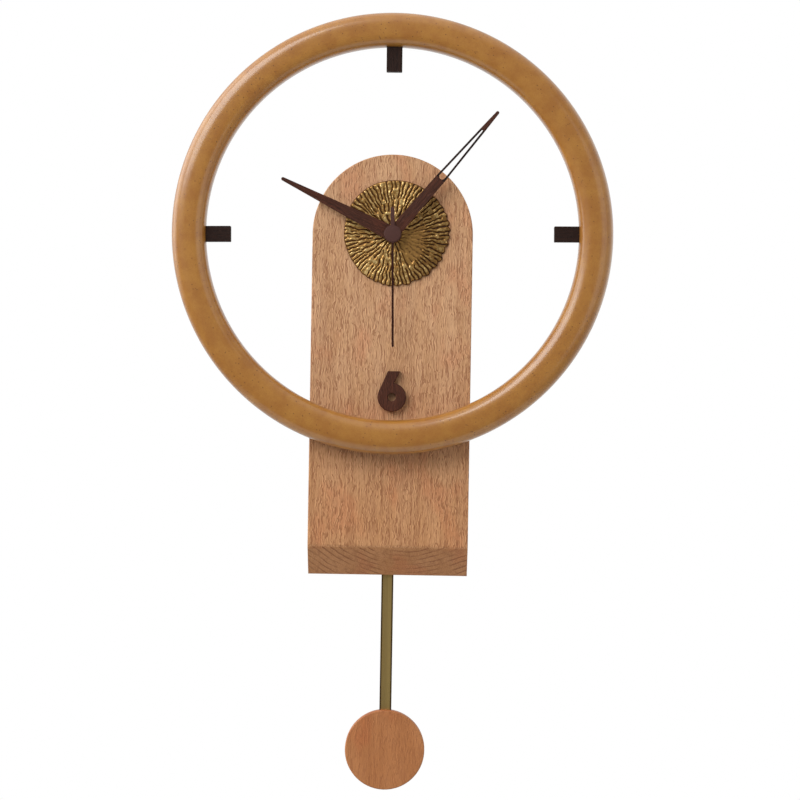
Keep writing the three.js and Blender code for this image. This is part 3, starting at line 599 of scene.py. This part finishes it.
def winding():
    """Enamelled copper wire, laid side by side, with painted shade in the grooves between the wires."""
    copper = Shader("copper", roughness=0.35, metallic=0.9)
    wave = {"Vector": copper.place, "Scale": 1.2, "Distortion": 0.6}
    strand = copper.node("TexWave", wave).outputs["Fac"]
    # The darker copper in the wave's troughs is painted shade between the round wires.
    copper.colour(copper.mix(strand, linear(120, 62, 32), linear(205, 122, 74)))
    copper.bump(strand, 0.05, 0.6)


def circuit():
    """A printed circuit board, with tracks under green lacquer."""
    board = Shader("circuit_green", roughness=0.35, coat=0.3)
    tracks = board.cells(0.45)
    lines = board.ramp(tracks, 0.42, 0.46)
    board.colour(board.mix(lines, linear(34, 82, 52), linear(58, 116, 72)))
    board.bump(lines, 0.03, 0.5)


def battery_wrap():
    """A plain cell: a dark sleeve with a pale band at its positive end."""
    cell = Shader("battery_wrap", roughness=0.32, metallic=0.35)
    box = Box("battery")
    band = cell.ramp(cell.axes()["X"], box.right - 13.5, box.right - 13.2)
    scuff = cell.noise((0.3, 1.5, 1.5), detail=4, rough=0.7)
    sleeve = cell.mix(cell.ramp(scuff, 0.35, 0.75), linear(52, 84, 118), linear(40, 66, 96))
    cell.colour(cell.mix(band, sleeve, linear(196, 190, 176)))
    cell.roughness(cell.ramp(scuff, 0.3, 0.7, 0.28, 0.42))
    cell.bump(scuff, 0.01, 0.3)


beech("beech", 1.0, 0.0)
beech("bob_beech", 0.92, 0.2, fleck=0.35)
walnut("walnut", 0.9)
walnut("dark_walnut", 0.46)
walnut("numeral_walnut", 1.0)
honey_lacquer()
leaf_brass()
bronzed_bar()
metal("brass", linear(206, 172, 92), 0.3)
metal("steel", linear(188, 189, 192), 0.34)
metal("magnet", linear(96, 97, 101), 0.45, metallic=0.8)
moulded("walnut_paint", linear(58, 28, 22), 0.5, specular=0.15)
moulded("black_plastic", linear(44, 44, 46), 0.5)
moulded("white_plastic", linear(232, 230, 222), 0.45, 0.05)
moulded("red_plastic", linear(172, 48, 40), 0.45)
moulded("rubber", linear(36, 36, 36), 0.85)
hand_paint()
winding()
circuit()
battery_wrap()
felt()

for node_name, node in frame["nodes"].items():
    node.data.materials.clear()
    node.data.materials.append(MATERIALS[SLOT_OF[node_name]])


def build(name, bm, *nodes, turn=0.0, sharp=35, material=None):
    """A finished piece that stands for CAD nodes, by default in the first one's material."""
    obj = new_object(name, bm, MATERIALS[material or SLOT_OF[nodes[0]]], turn)
    obj.data.shade_smooth()
    obj.data.set_sharp_from_angle(angle=math.radians(sharp))
    weighted = obj.modifiers.new("even_normals", "WEIGHTED_NORMAL")
    weighted.keep_sharp = True
    weighted.weight = 100
    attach(obj, BODY_OF[nodes[0]])
    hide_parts(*nodes)
    return obj


# ---- backboard
BOARD = Box("backboard")
RING = Box("ring_frame")
CASE = Box("movement_case")
DRIVE = Box("drive_case")
ROD = Box("pendulum_rod")
BOB = Box("pendulum_bob")
HANGER = Box("hanger_plate")
CHAMFER = 27
CHAMFER_ROUND = 2.5
BOARD_EDGE = 1.1
SWING_FLOOR = Box("ring_screw_left").back - 0.1
SWING_TOP_HALF = 21
SWING_BOTTOM_HALF = 47
PIECE_GAP = 0.3
CASE_WALL = 1.4
SCREW_HOLE = 2.3
DOWEL_HOLE = 4.3
SHAFT_HOLE = 4.2


def chamfer_drop(z):
    """How far the board's front is cut back at a height, with a soft turn at the top."""
    below = BOARD.bottom + CHAMFER - z
    r = CHAMFER_ROUND
    if below <= -r:
        return 0.0
    if below >= r:
        return below
    return (below + r) ** 2 / (4 * r)


def board_blank():
    outline = [(BOARD.left, BOARD.bottom), (BOARD.right, BOARD.bottom)]
    outline += arc(0, 0, BOARD.radius, 0, 180, 160)
    bm = BOARD.slab(outline, BOARD_EDGE)
    turn_z = BOARD.bottom + CHAMFER
    for step in range(-4, 5):
        level = at(0, 0, turn_z + CHAMFER_ROUND * step / 4)
        geometry = bm.verts[:] + bm.edges[:] + bm.faces[:]
        bmesh.ops.bisect_plane(bm, geom=geometry, plane_co=level, plane_no=(0, 0, 1))
    for vert in bm.verts:
        depth = -vert.co.y / MM
        if depth > BOARD.front - BOARD_EDGE - 0.01:
            vert.co.y += chamfer_drop(vert.co.z / MM) * MM
    return bm


def keyhole(grow):
    """The hanger's slot and the round hole below it."""
    slot, hole = 2.6 + grow, 5.2 + grow
    hang_z = -HAND_AXIS.z / MM
    meet = math.degrees(math.asin(slot / hole))
    top = arc(0, hang_z - 2.6, slot, 0, 180, 16)
    return top + arc(0, hang_z - 9, hole, 90 + meet, 450 - meet, 40)


def hanger_outline(grow):
    radius = (HANGER.top - HANGER.bottom) / 2 + grow
    reach = HANGER.right - radius + grow
    return arc(reach, HANGER.z, radius, -90, 90, 24) + arc(-reach, HANGER.z, radius, 90, 270, 24)


def screw_way(box, depth, shank, head, head_back):
    """The hole for a countersunk screw, as a cutter."""
    return lathe_mesh(box.x, box.z, [
        (0, head_back - 2), (head, head_back - 2), (head, head_back),
        (shank, head_back + head - shank), (shank, depth), (0, depth),
    ], 32)


def backboard():
    rear = BOARD.back - 1
    pocket = slab_mesh(
        rounded_box(CASE.left - 2, CASE.right + 2, DRIVE.bottom - 2, CASE.top + 2, 3),
        rear, CASE.front + 1,
    )
    slot = slab_mesh([
        (-SWING_BOTTOM_HALF, BOARD.bottom - 1), (SWING_BOTTOM_HALF, BOARD.bottom - 1),
        (SWING_TOP_HALF, DRIVE.bottom + 8), (-SWING_TOP_HALF, DRIVE.bottom + 8),
    ], rear, SWING_FLOOR)
    hanger = slab_mesh(hanger_outline(PIECE_GAP), rear, HANGER.front + PIECE_GAP)
    hook_room = slab_mesh(keyhole(2), BOARD.back, BOARD.back + 10)
    tools = [pocket, slot, hanger, hook_room]
    for side in ("left", "right"):
        ring_screw, hanger_screw = Box(f"ring_screw_{side}"), Box(f"hanger_screw_{side}")
        tools.append(screw_way(ring_screw, BOARD.front + 1, SCREW_HOLE, 4.3, SWING_FLOOR))
        tools.append(lathe_mesh(hanger_screw.x, hanger_screw.z, [
            (0, BOARD.back), (1.5, BOARD.back), (1.5, BOARD.back + 15), (0, BOARD.back + 15),
        ], 24))
    dowel = Box("ring_dowel")
    tools.append(slab_mesh(circle(0, dowel.z, DOWEL_HOLE), dowel.back - PIECE_GAP, BOARD.front + 1))
    tools.append(slab_mesh(circle(0, 0, SHAFT_HOLE), BOARD.back, BOARD.front + 1))
    build("backboard_wood", cut(board_blank(), *tools), "backboard", sharp=30)


# ---- ring, markers, numeral
def ring_section(steps=56):
    """The ring's section: a flattened oval, planed flat where it lies on the board."""
    half_width = 15.5
    middle_radius = RING.radius - half_width + 0.06
    half_depth = 14
    fullness = 2.8
    middle = RING.front - half_depth
    seat = math.acos(-((middle - RING.back) / half_depth) ** (fullness / 2))
    points = []
    for i in range(steps + 1):
        a = -seat + 2 * seat * i / steps
        across = math.copysign(abs(math.sin(a)) ** (2 / fullness), a)
        forward = math.copysign(abs(math.cos(a)) ** (2 / fullness), math.cos(a))
        points.append((middle_radius + half_width * across, middle + half_depth * forward))
    return points


# Degrees clockwise from 12: the ring sits a little turned on the board.
MARKERS = {"marker_12": -0.3, "marker_3": 89.3, "marker_9": -91}
MARKER_INNER = 146.3
MARKER_OUTER = 171.8
MARKER_HALF = 7.1


def ring():
    tools = []
    gap = 0.1
    for name, angle in MARKERS.items():
        box = Box(name)
        mortise = slab_mesh(
            rounded_box(
                -MARKER_HALF - gap, MARKER_HALF + gap, MARKER_INNER, MARKER_OUTER + gap, 0.5, 3,
            ),
            box.back - gap, box.front + gap,
        )
        turn = Matrix.Rotation(math.radians(angle), 4, "Y")
        bmesh.ops.transform(mortise, matrix=turn, verts=mortise.verts)
        tools.append(mortise)
    for side in ("left", "right"):
        screw = Box(f"ring_screw_{side}")
        way = circle(screw.x, screw.z, SCREW_HOLE, 24)
        tools.append(slab_mesh(way, RING.back - 1, screw.front + PIECE_GAP))
    dowel = Box("ring_dowel")
    way = circle(0, dowel.z, DOWEL_HOLE, 32)
    tools.append(slab_mesh(way, RING.back - 1, dowel.front + PIECE_GAP))
    hoop = lathe_mesh(0, 0, ring_section(), 240)
    build("ring_wood_hoop", cut(hoop, *tools), "ring_frame", sharp=40)


def markers():
    outline = rounded_box(-MARKER_HALF, MARKER_HALF, MARKER_INNER, MARKER_OUTER, 0.7, 4)
    for name, angle in MARKERS.items():
        box = Box(name)
        mesh = box.slab(outline, 0.5)
        build(f"{name}_block", mesh, name, turn=angle, material="dark_walnut")


def numeral():
    """A 6 with a round bowl and a slanted stem, cut off level at the top."""
    box = Box("numeral_6")
    bowl = 13
    x, z = box.left + bowl, box.bottom + bowl
    left, right = (x - 3.9, box.top), (x + 7.4, box.top)
    reach = math.hypot(left[0] - x, left[1] - z)
    towards = math.degrees(math.atan2(left[1] - z, left[0] - x))
    tangent = towards + math.degrees(math.acos(bowl / reach))
    outline = [left] + arc(x, z, bowl, tangent, 83 + 360, 90) + [right]
    mesh = box.slab(outline, 0.7, [circle(x, z, 3.6)])
    build("numeral_six", mesh, "numeral_6", material="numeral_walnut")


# ---- brass leaf
LEAF = Box("brass_leaf")
LEAF_X, LEAF_Z = 3.2, 1.8
LEAF_RADIUS = 47.9
LEAF_RELIEF = 1.3
VEINS = (20, 40, 74)


def smooth(value, low, high):
    t = min(max((value - low) / (high - low), 0.0), 1.0)
    return t * t * (3 - 2 * t)


def field(x, z, size, layer):
    """Soft noise from about -1 to 1 with features of a given size in millimetres."""
    return noise.noise(Vector((x / size, z / size, layer)))


def leaf_rim(angle):
    """The leaf's radius about its middle: scalloped, most of all at the lower right."""
    frilled = smooth(math.cos(angle + math.radians(40)), -0.35, 0.75)
    x, z = math.cos(angle), math.sin(angle)
    scallop = abs(math.sin(18.5 * angle + 1.5 * math.sin(3 * angle)))
    notch = smooth(noise.noise(Vector((5 * x, 5 * z, 11))), 0.1, 0.45)
    return (
        LEAF_RADIUS + 0.5 * math.sin(3 * angle + 1) + 0.5 * noise.noise(Vector((3 * x, 3 * z, 4)))
        + frilled * (1.8 * (scallop - 0.6) - 1.3 * notch)
    )


def veins(turn, radius, count, layer):
    """Ridges between meandering grooves: 1 on the ridges and 0 in the grooves.

    Turn is the angle as a share of the full circle, after the meander has been added."""
    place = turn * count
    index = math.floor(place)
    within = abs(place - index - 0.5) * 2
    edge_index = round(place) % count
    broken = noise.noise(Vector((radius / 9, edge_index * 3.7, layer)))
    depth = smooth(broken, -0.5, -0.25)
    thin = 0.36 + 0.14 * noise.noise(Vector((radius / 5, edge_index * 5.1, layer + 9)))
    ridge_top = smooth(1 - within, 0.02, 2 * thin)
    return 1 - depth * (1 - ridge_top)


def leaf_height(x, z):
    """Relief from 0 to 1 at a point of the leaf, measured from the hand axis."""
    radius = math.hypot(x, z)
    angle = math.atan2(z, x)
    meander = 1.5 * field(x, z, 8, 0) + 0.75 * field(x, z, 3.2, 5)
    turn = (angle + meander / max(radius, 9)) / (2 * math.pi)
    wander = 9 * field(x, z, 11, 7)
    level = veins(turn, radius, VEINS[0], 1)
    for start, count, layer in ((15, VEINS[1], 2), (29, VEINS[2], 3)):
        share = smooth(radius + wander, start, start + 2.5)
        level = level * (1 - share) + veins(turn, radius, count, layer) * share
    bead = noise.noise(Vector((radius / 3.5, turn * VEINS[2] * 0.8, 2)))
    crest = 0.84 * level + 0.16 * level * smooth(bead, 0.1, 0.45)
    # Right of the hub a fan is smoothed flat and given a lower relief value, so the brass shader paints it darker:
    # a painted dark reflection.
    fan = smooth(math.cos(angle + math.radians(24)), 0.7, 0.93)
    fan *= smooth(radius, 6, 12) * (1 - smooth(radius + wander / 2, 25, 36))
    return crest * (1 - 0.8 * fan) + 0.26 * fan


def brass_leaf():
    around, rows = 1200, 110
    bm = bmesh.new()
    layer = bm.verts.layers.float.new("relief")
    rim_drop = 0.6
    angles = [2 * math.pi * i / around for i in range(around)]
    rims = [leaf_rim(a) for a in angles]
    grid = []
    for k in range(rows + 1):
        share = k / rows
        ring_row = []
        for angle, rim in zip(angles, rims):
            x = SHAFT_HOLE * math.cos(angle) * (1 - share)
            z = SHAFT_HOLE * math.sin(angle) * (1 - share)
            x += (LEAF_X + rim * math.cos(angle)) * share
            z += (LEAF_Z + rim * math.sin(angle)) * share
            inward = rim * (1 - share)
            edge = smooth(inward, 0, 1.3)
            radius = math.hypot(x, z)
            relief = leaf_height(x, z) * smooth(radius, 6.5, 9)
            depth = LEAF.front - rim_drop * (1 - edge) + LEAF_RELIEF * relief * (0.4 + 0.6 * edge)
            vert = bm.verts.new(at(x, depth, z))
            # Near the rim the relief value is pulled down, which paints a dark band: painted shade on the leaf's
            # turned-down edge.
            vert[layer] = relief * (0.1 + 0.9 * edge) if radius > 7.5 else 0.5
            ring_row.append(vert)
        grid.append(ring_row)
    for row in (grid[-1], grid[0]):
        grid.append([bm.verts.new((v.co.x, -LEAF.back * MM, v.co.z)) for v in row])
    skin(bm, grid + grid[:1])
    build("leaf_relief", bm, "brass_leaf", sharp=70)


# ---- hands
HOUR_ANGLE = -64.2
MINUTE_ANGLE = 40
SECOND_ANGLE = 179


def hour_hand():
    box = Box("hour_hand")
    root, tip, length = 13.2, 3.2, 113
    outline = [(-root / 2, 10)] + arc(0, 0, 8, 145, 395, 40) + [(root / 2, 10)]
    outline += arc(0, length - tip / 2, tip / 2, 0, 180, 12)
    mesh = box.slab(outline, 0.35, [circle(0, 0, 3.7)])
    build("hour_hand_blade", mesh, "hour_hand", turn=HOUR_ANGLE)


def minute_hand():
    """A blade as far as the fork, two thin prongs that close up, and a solid tip."""
    box = Box("minute_hand")
    length, fork_start, fork_end = 146.8, 66, 124.5
    root, fork, tip, point, prong = 10.8, 9.4, 4.9, 2.9, 1.9
    outline = arc(0, 0, 8, 135, 405, 40) + [
        (root / 2, 8), (fork / 2, fork_start), (tip / 2, fork_end),
    ]
    outline += arc(0, length - point / 2, point / 2, 0, 180, 12)
    outline += [(-tip / 2, fork_end), (-fork / 2, fork_start), (-root / 2, 8)]
    eye, slit = fork / 2 - prong, tip / 2 - prong
    opening = arc(0, fork_start + eye, eye, 180, 360, 24) + arc(0, fork_end - slit, slit, 0, 180, 10)
    mesh = box.slab(outline, 0.15, [opening, circle(0, 0, 2.7)])
    for face in mesh.faces:
        if fork_start < face.calc_center_median().z / MM < fork_end:
            face.material_index = 1
    hand = build("minute_hand_blade", mesh, "minute_hand", turn=MINUTE_ANGLE)
    hand.data.materials.append(MATERIALS["dark_walnut"])


def second_hand():
    """A domed disc with a short broad tail and a long needle."""
    box = Box("second_hand")
    hub, tail, needle, length, tail_length = 7.9, 1.8, 1.0, 102.5, 24.5
    up = math.degrees(math.asin(needle / hub))
    down = math.degrees(math.asin(tail / hub))
    outline = arc(0, 0, hub, 90 + up, 270 - down, 60)
    outline += arc(0, -tail_length + tail, tail, 180, 360, 12)
    outline += arc(0, 0, hub, 270 + down, 450 - up, 60)
    outline += arc(0, length - needle, needle, 0, 180, 6)
    plate = box.slab(outline, 0.08)
    cap = lathe_mesh(0, 0, [
        (0, box.front - 0.1), (hub - 0.5, box.front - 0.1), (hub - 0.5, box.front + 0.15),
        (hub - 0.9, box.front + 0.5), (4, box.front + 0.68), (0, box.front + 0.72),
    ], 72)
    mesh = joined(plate, cap)
    build("second_hand_needle", mesh, "second_hand", turn=SECOND_ANGLE, material="hand_paint")


def hub_hardware():
    """The shaft's washer, hexagonal nut and threaded end, seen from the side."""
    bushing, hole = Box("threaded_bushing"), [circle(0, 0, 4.1)]
    washer = Box("shaft_washer").slab(circle(0, 0, 7.2), 0.12, hole)
    build("shaft_washer_ring", washer, "shaft_washer")
    build("shaft_nut_hex", Box("shaft_nut").slab(circle(0, 0, 6.4, 6), 0.3, hole), "shaft_nut")
    pitch = 0.75
    start, end = CASE.front, bushing.front - 0.3
    turns = int((end - start) / pitch)
    profile = [(2.85, bushing.back), (3.85, bushing.back), (3.85, start)]
    for i in range(turns):
        profile += [(3.9, start + pitch * (i + 0.3)), (3.5, start + pitch * (i + 0.8))]
    profile += [(3.6, bushing.front), (2.85, bushing.front)]
    build("threaded_bushing_turned", lathe_mesh(0, 0, profile, 48), "threaded_bushing", sharp=25)
    for name, outer, bore in (
        ("hour_hand_bush", 3.6, 2.65), ("minute_hand_bush", 2.6, 1.7), ("second_hand_tube", 1.3, 0.6),
    ):
        bush = Box(name).slab(circle(0, 0, outer, 48), 0.12, [circle(0, 0, bore, 48)])
        build(f"{name}_turned", bush, name)


# ---- pendulum
def pendulum():
    half = ROD.radius
    bob_z = BOB.z
    rod_outline = rounded_box(-half, half, ROD.bottom, ROD.top, 1.0, 4)
    rod_holes = [circle(0, ROD.top - 6.4, 2.1, 32), circle(0, bob_z, 1.7, 24)]
    build("pendulum_bar", ROD.slab(rod_outline, 0.7, rod_holes), "pendulum_rod")
    radius, edge = BOB.radius, 1.3
    profile = [(0, BOB.back)]
    profile += [(radius - i, d) for i, d in edge_profile(BOB.back, BOB.front, edge, 6)]
    profile.append((0, BOB.front))
    gap = 0.2
    mortise = slab_mesh(
        [(-half - gap, bob_z - 8.3), (half + gap, bob_z - 8.3),
         (half + gap, BOB.top + 1), (-half - gap, BOB.top + 1)],
        ROD.back - gap, ROD.front + gap,
    )
    way = lathe_mesh(0, bob_z, [
        (0, BOB.back - 1), (3.2, BOB.back - 1), (3.2, BOB.back + 1.3),
        (1.7, BOB.back + 1.3), (1.7, BOB.front - 3), (0, BOB.front - 3),
    ], 40)
    disc = cut(lathe_mesh(0, bob_z, profile, 160), mortise, way)
    build("pendulum_bob_disc", disc, "pendulum_bob", material="bob_beech")
    head, tip = Box("bob_screw").back, Box("bob_screw").front
    screw = lathe_mesh(0, bob_z, [
        (0, head), (2.3, head), (2.75, head + 0.35), (2.85, head + 1.1), (1.4, head + 1.1),
        (1.4, tip), (0, tip),
    ], 40)
    driver_slot = rounded_box(-3.2, 3.2, bob_z - 0.4, bob_z + 0.4, 0.1, 1)
    screw = cut(screw, slab_mesh(driver_slot, head - 1, head + 0.6))
    build("bob_screw_slotted", screw, "bob_screw")


def swing_arm():
    arm, magnet = Box("swing_arm"), Box("arm_magnet")
    plate_back, plate_front, boss_front = 8.9, 10.3, arm.front
    peg_z = arm.bottom + 4.5
    neck, boss = 4.5, 7
    outline = arc(0, PIVOT_Z, 5.5, 0, 180, 30)
    outline += [(-neck, magnet.z + 9)] + arc(0, magnet.z, boss, 130, 230, 20)
    outline += [(-neck, peg_z + 4)] + arc(0, peg_z, 4.5, 180, 360, 30)
    outline += [(neck, peg_z + 4)] + arc(0, magnet.z, boss, -50, 50, 20)
    outline += [(neck, magnet.z + 9)]
    blade = slab_mesh(outline, plate_back, plate_front, 0.25, [circle(0, PIVOT_Z, 1.75, 32)])
    rim = slab_mesh(
        circle(0, magnet.z, 6), plate_front - 0.2, boss_front, 0.2, [circle(0, magnet.z, 4.4)],
    )
    peg = lathe_mesh(0, peg_z, [
        (0, arm.back), (1.6, arm.back), (1.9, arm.back + 0.25), (1.9, arm.back + 0.6),
        (1.5, arm.back + 0.8), (1.5, plate_back + 0.1), (2.2, plate_back + 0.2), (0, plate_back + 0.4),
    ], 32)
    window = slab_mesh(circle(0, magnet.z, 4.4), plate_back + 0.6, boss_front + 1)
    build("swing_arm_moulding", joined(cut(blade, window), rim, peg), "swing_arm")
    pin = Box("pivot_pin")
    head = pin.back
    build("pivot_pin_turned", lathe_mesh(0, PIVOT_Z, [
        (0, head), (2.2, head), (2.8, head + 0.4), (2.8, head + 1), (1.5, head + 1),
        (1.5, pin.front - 0.3), (1.2, pin.front), (0, pin.front),
    ], 40), "pivot_pin")


# ---- back of the clock
def cross_recess(x, z, size, back, depth):
    """A tapered cross for a screwdriver, as cutters."""
    half = size * 0.16
    arms = ((size, half), (half, size))
    outlines = [rounded_box(x - a, x + a, z - b, z + b, half * 0.6, 2) for a, b in arms]
    return [slab_mesh(outline, back - 1, back + depth) for outline in outlines]


def countersunk_screw(node, head, shank):
    box = Box(node)
    back, tip = box.back, box.front
    cone = back + (1.2 if head < 3.5 else 2.4)
    profile = [(0, back), (head - 0.25, back), (head, back + 0.2), (shank, cone)]
    pitch = 1.3 * shank
    depth = cone + 2 * pitch
    while depth < tip - 3 * shank:
        profile += [(shank * 0.78, depth), (shank, depth + pitch * 0.45)]
        depth += pitch
    profile += [(shank * 0.7, tip - 2.4 * shank), (0, tip)]
    recess = cross_recess(box.x, box.z, head * 0.55, back, 0.9)
    build(f"{node}_turned", cut(lathe_mesh(box.x, box.z, profile, 32), *recess), node)


def hanging_hardware():
    plate = HANGER.slab(hanger_outline(0), 0.2, [keyhole(0)])
    for side in ("left", "right"):
        screw = Box(f"hanger_screw_{side}")
        plate = cut(plate, screw_way(screw, HANGER.front + 2, 1.6, 3.1, HANGER.back))
        countersunk_screw(f"hanger_screw_{side}", 2.8, 1.3)
        countersunk_screw(f"ring_screw_{side}", 4, 2)
    build("hanger_plate_pressed", plate, "hanger_plate")
    for row in ("upper", "lower"):
        for side in ("left", "right"):
            name = f"wall_pad_{row}_{side}"
            box = Box(name)
            pad = box.slab(circle(box.x, box.z, box.radius, 48), 0.6)
            build(f"{name}_felt", pad, name)


def movement():
    partition_z = Box("movement_cover").bottom
    inside = CASE.right - CASE_WALL
    within = (CASE.back - 1, CASE.front - CASE_WALL)
    case = cut(
        CASE.slab(CASE.outline(2.2), 0.5),
        slab_mesh(rounded_box(-inside, inside, partition_z + CASE_WALL, inside, 1), *within),
        slab_mesh(rounded_box(-inside, inside, -inside, partition_z, 1), *within),
        slab_mesh(
            rounded_box(-9, 9, CASE.bottom - 2, CASE.bottom + CASE_WALL + 1, 2),
            CASE.back - 1, CASE.back + 6,
        ),
        slab_mesh(circle(0, 0, 4, 32), CASE.front - 4, CASE.front + 1),
    )
    build("movement_case_shell", case, "movement_case")


def movement_cover():
    """The cover, with holes for the arbors, a sunk label field and a ring round the knob."""
    box, knob = Box("movement_cover"), Box("setting_knob")
    arbors = [Box("third_wheel"), Box("intermediate_wheel"), Box("rotor_pinion")]
    holes = [circle(0, 0, 0.65, 20), circle(knob.x, knob.z, 1.8, 28)]
    holes += [circle(a.x, a.z, 0.65, 20) for a in arbors]
    plate = box.slab(box.outline(2.2), 0.4, holes)
    sunk = (box.back - 1, box.back + 0.4)
    field_panel = slab_mesh(rounded_box(1, 25, 12, 25, 1.5), *sunk)
    knob_ring = slab_mesh(
        circle(knob.x, knob.z, 7.4), *sunk, holes=[circle(knob.x, knob.z, 6.4)],
    )
    build("movement_cover_moulding", cut(plate, field_panel, knob_ring), "movement_cover")


def setting_knob():
    """A knurled disc with a slot, on its stem."""
    knob = Box("setting_knob")
    grip = []
    for i in range(96):
        a = 2 * math.pi * i / 96
        radius = knob.radius - 0.15 + 0.15 * math.cos(24 * a)
        grip.append((knob.x + radius * math.cos(a), knob.z + radius * math.sin(a)))
    disc = slab_mesh(grip, knob.back, knob.back + 3, 0.35)
    stem = slab_mesh(circle(knob.x, knob.z, 0.6, 24), knob.back + 2.5, knob.front)
    slot = slab_mesh(
        rounded_box(knob.x - 3.4, knob.x + 3.4, knob.z - 0.6, knob.z + 0.6, 0.5, 3),
        knob.back - 1, knob.back + 0.9,
    )
    build("setting_knob_moulding", cut(joined(disc, stem), slot), "setting_knob")


def battery_bay():
    cell = Box("battery")
    radius, length = 7.1, cell.right - cell.left
    depth = (cell.back + cell.front) / 2
    profile = [(0, 0), (4.2, 0), (4.6, 0.25), (6.2, 0.25), (6.9, 0.5), (radius, 1.0)]
    profile += [(radius, length - 2.1), (6.9, length - 1.6), (6.4, length - 1.45)]
    profile += [(3.6, length - 1.3), (3.0, length - 1.2), (2.7, length - 1), (2.6, length - 0.2)]
    profile += [(2.3, length), (0, length)]
    turned = lathe_mesh(0, 0, profile, 64)
    build("battery_cell", lay_along_x(turned, cell.left, depth, cell.z), "battery")
    spring = Box("contact_spring")
    start, end = spring.left + 0.3, spring.right - 0.3
    path = []
    turns, steps = 2.6, 150
    for i in range(steps + 1):
        t = i / steps
        a = t * turns * 2 * math.pi
        coil = 4.6 - 1.6 * t
        x = start + (end - start) * t
        path.append((x, depth - coil * math.cos(a), cell.z + coil * math.sin(a)))
    build("contact_spring_wire", tube_mesh(path, 0.3), "contact_spring", sharp=60)
    tab = Box("contact_positive")
    corners = [(x, z) for x in (tab.left, tab.right) for z in (tab.bottom, tab.top)]
    square = [corners[i] for i in (0, 2, 3, 1)]
    build("contact_positive_tab", tab.slab(square, 0.1), "contact_positive")


def pendulum_drive():
    inner = DRIVE.outline(2, -CASE_WALL)
    tools = [slab_mesh(inner, DRIVE.back + CASE_WALL, DRIVE.front + 1)]
    tools.append(slab_mesh(circle(0, PIVOT_Z, 1.6, 32), DRIVE.back - 1, DRIVE.back + 5))
    coil_z = Box("drive_coil").z
    for side in (-1, 1):
        for step in range(4):
            x = side * (12 + 2.6 * step)
            tools.append(slab_mesh(
                rounded_box(x - 0.6, x + 0.6, coil_z - 5, coil_z + 12, 0.55, 3),
                DRIVE.back - 1, DRIVE.back + 0.5,
            ))
    shell = cut(DRIVE.slab(DRIVE.outline(3), 0.6), *tools)
    build("drive_case_shell", shell, "drive_case")


# ---- camera, lights, floor
def camera():
    """Square on to the board, a little to its right, and rolled slightly."""
    data = bpy.data.cameras.new("camera")
    data.sensor_width = 36
    data.lens = 121.6
    data.shift_x = -0.0287
    place = Matrix.Translation((0.03, -2.5, HAND_AXIS.z - 0.15))
    facing = Matrix.Rotation(math.radians(90), 4, "X")
    roll = Matrix.Rotation(math.radians(0.95), 4, "Z")
    bpy.context.scene.camera = put("camera", data, place @ facing @ roll)


def area_light(name, place, target, width, height, power):
    data = bpy.data.lights.new(name, "AREA")
    data.shape = "RECTANGLE"
    data.size, data.size_y = width, height
    data.energy = power
    facing = (Vector(target) - Vector(place)).to_track_quat("-Z", "Y").to_matrix().to_4x4()
    put(name, data, Matrix.Translation(place) @ facing)


def lights():
    area_light("key", (-1.4, -1.85, 1.2), (0, 0, -0.2), 1.7, 1.7, 50)
    area_light("fill", (1.6, -2.4, 0.1), (0, 0, -0.25), 1.6, 1.6, 8)
    world = bpy.data.worlds.new("studio")
    world.use_nodes = True
    world_light(world.node_tree)
    bpy.context.scene.world = world
    bpy.context.scene.view_settings.view_transform = "Standard"


def world_light(tree):
    """White as seen, and for lighting: dim in front, bright behind and most at the upper left."""
    world = Nodes(tree)
    facing = world.node("TexCoord").outputs["Generated"]
    strength = 0.21
    for direction, low, high, glow in (
        ((-0.93, 0.02, 0.37), 0.78, 0.97, 3.0),  # upper left
        ((0.95, 0.1, 0.15), 0.5, 0.95, 0.6),  # right
        ((0, 1, 0.1), -0.1, 0.6, 0.6),  # behind
        ((-0.1, -0.3, 1), 0.6, 0.95, 0.8),  # above
    ):
        towards = world.vector("DOT_PRODUCT", facing, Vector(direction).normalized())
        strength = world.math("ADD", world.ramp(towards, low, high, 0, glow), strength)
    white = (1, 1, 1, 1)
    seen = tree.nodes["Background"]
    seen.inputs["Color"].default_value = white
    ambient = world.node("Background", {"Color": white, "Strength": strength})
    by_camera = world.node("LightPath").outputs["Is Camera Ray"]
    mix = world.node("MixShader", {"Fac": by_camera, 1: ambient.outputs[0], 2: seen.outputs[0]})
    tree.links.new(mix.outputs["Shader"], tree.nodes["World Output"].inputs["Surface"])


def floor():
    """A plain pale floor, well below the hanging clock."""
    bm = bmesh.new()
    size, level = 1.8, CAD_LOW.z - 1.2
    corners = ((-size, -size), (size, -size), (size, size), (-size, size))
    bm.faces.new([bm.verts.new((x, y, level)) for x, y in corners])
    paint = Shader("floor_paint", roughness=0.8)
    cloud = paint.noise(0.01)
    paint.colour(paint.mix(cloud, linear(212, 211, 208), linear(204, 203, 200)))
    mesh = bpy.data.meshes.new("floor")
    bm.to_mesh(mesh)
    bm.free()
    mesh.materials.append(MATERIALS["floor_paint"])
    put("floor", mesh, Matrix.Identity(4))


camera()
lights()
floor()
backboard()
ring()
markers()
numeral()
brass_leaf()
hour_hand()
minute_hand()
second_hand()
hub_hardware()
pendulum()
swing_arm()
hanging_hardware()
movement()
movement_cover()
setting_knob()
battery_bay()
pendulum_drive()
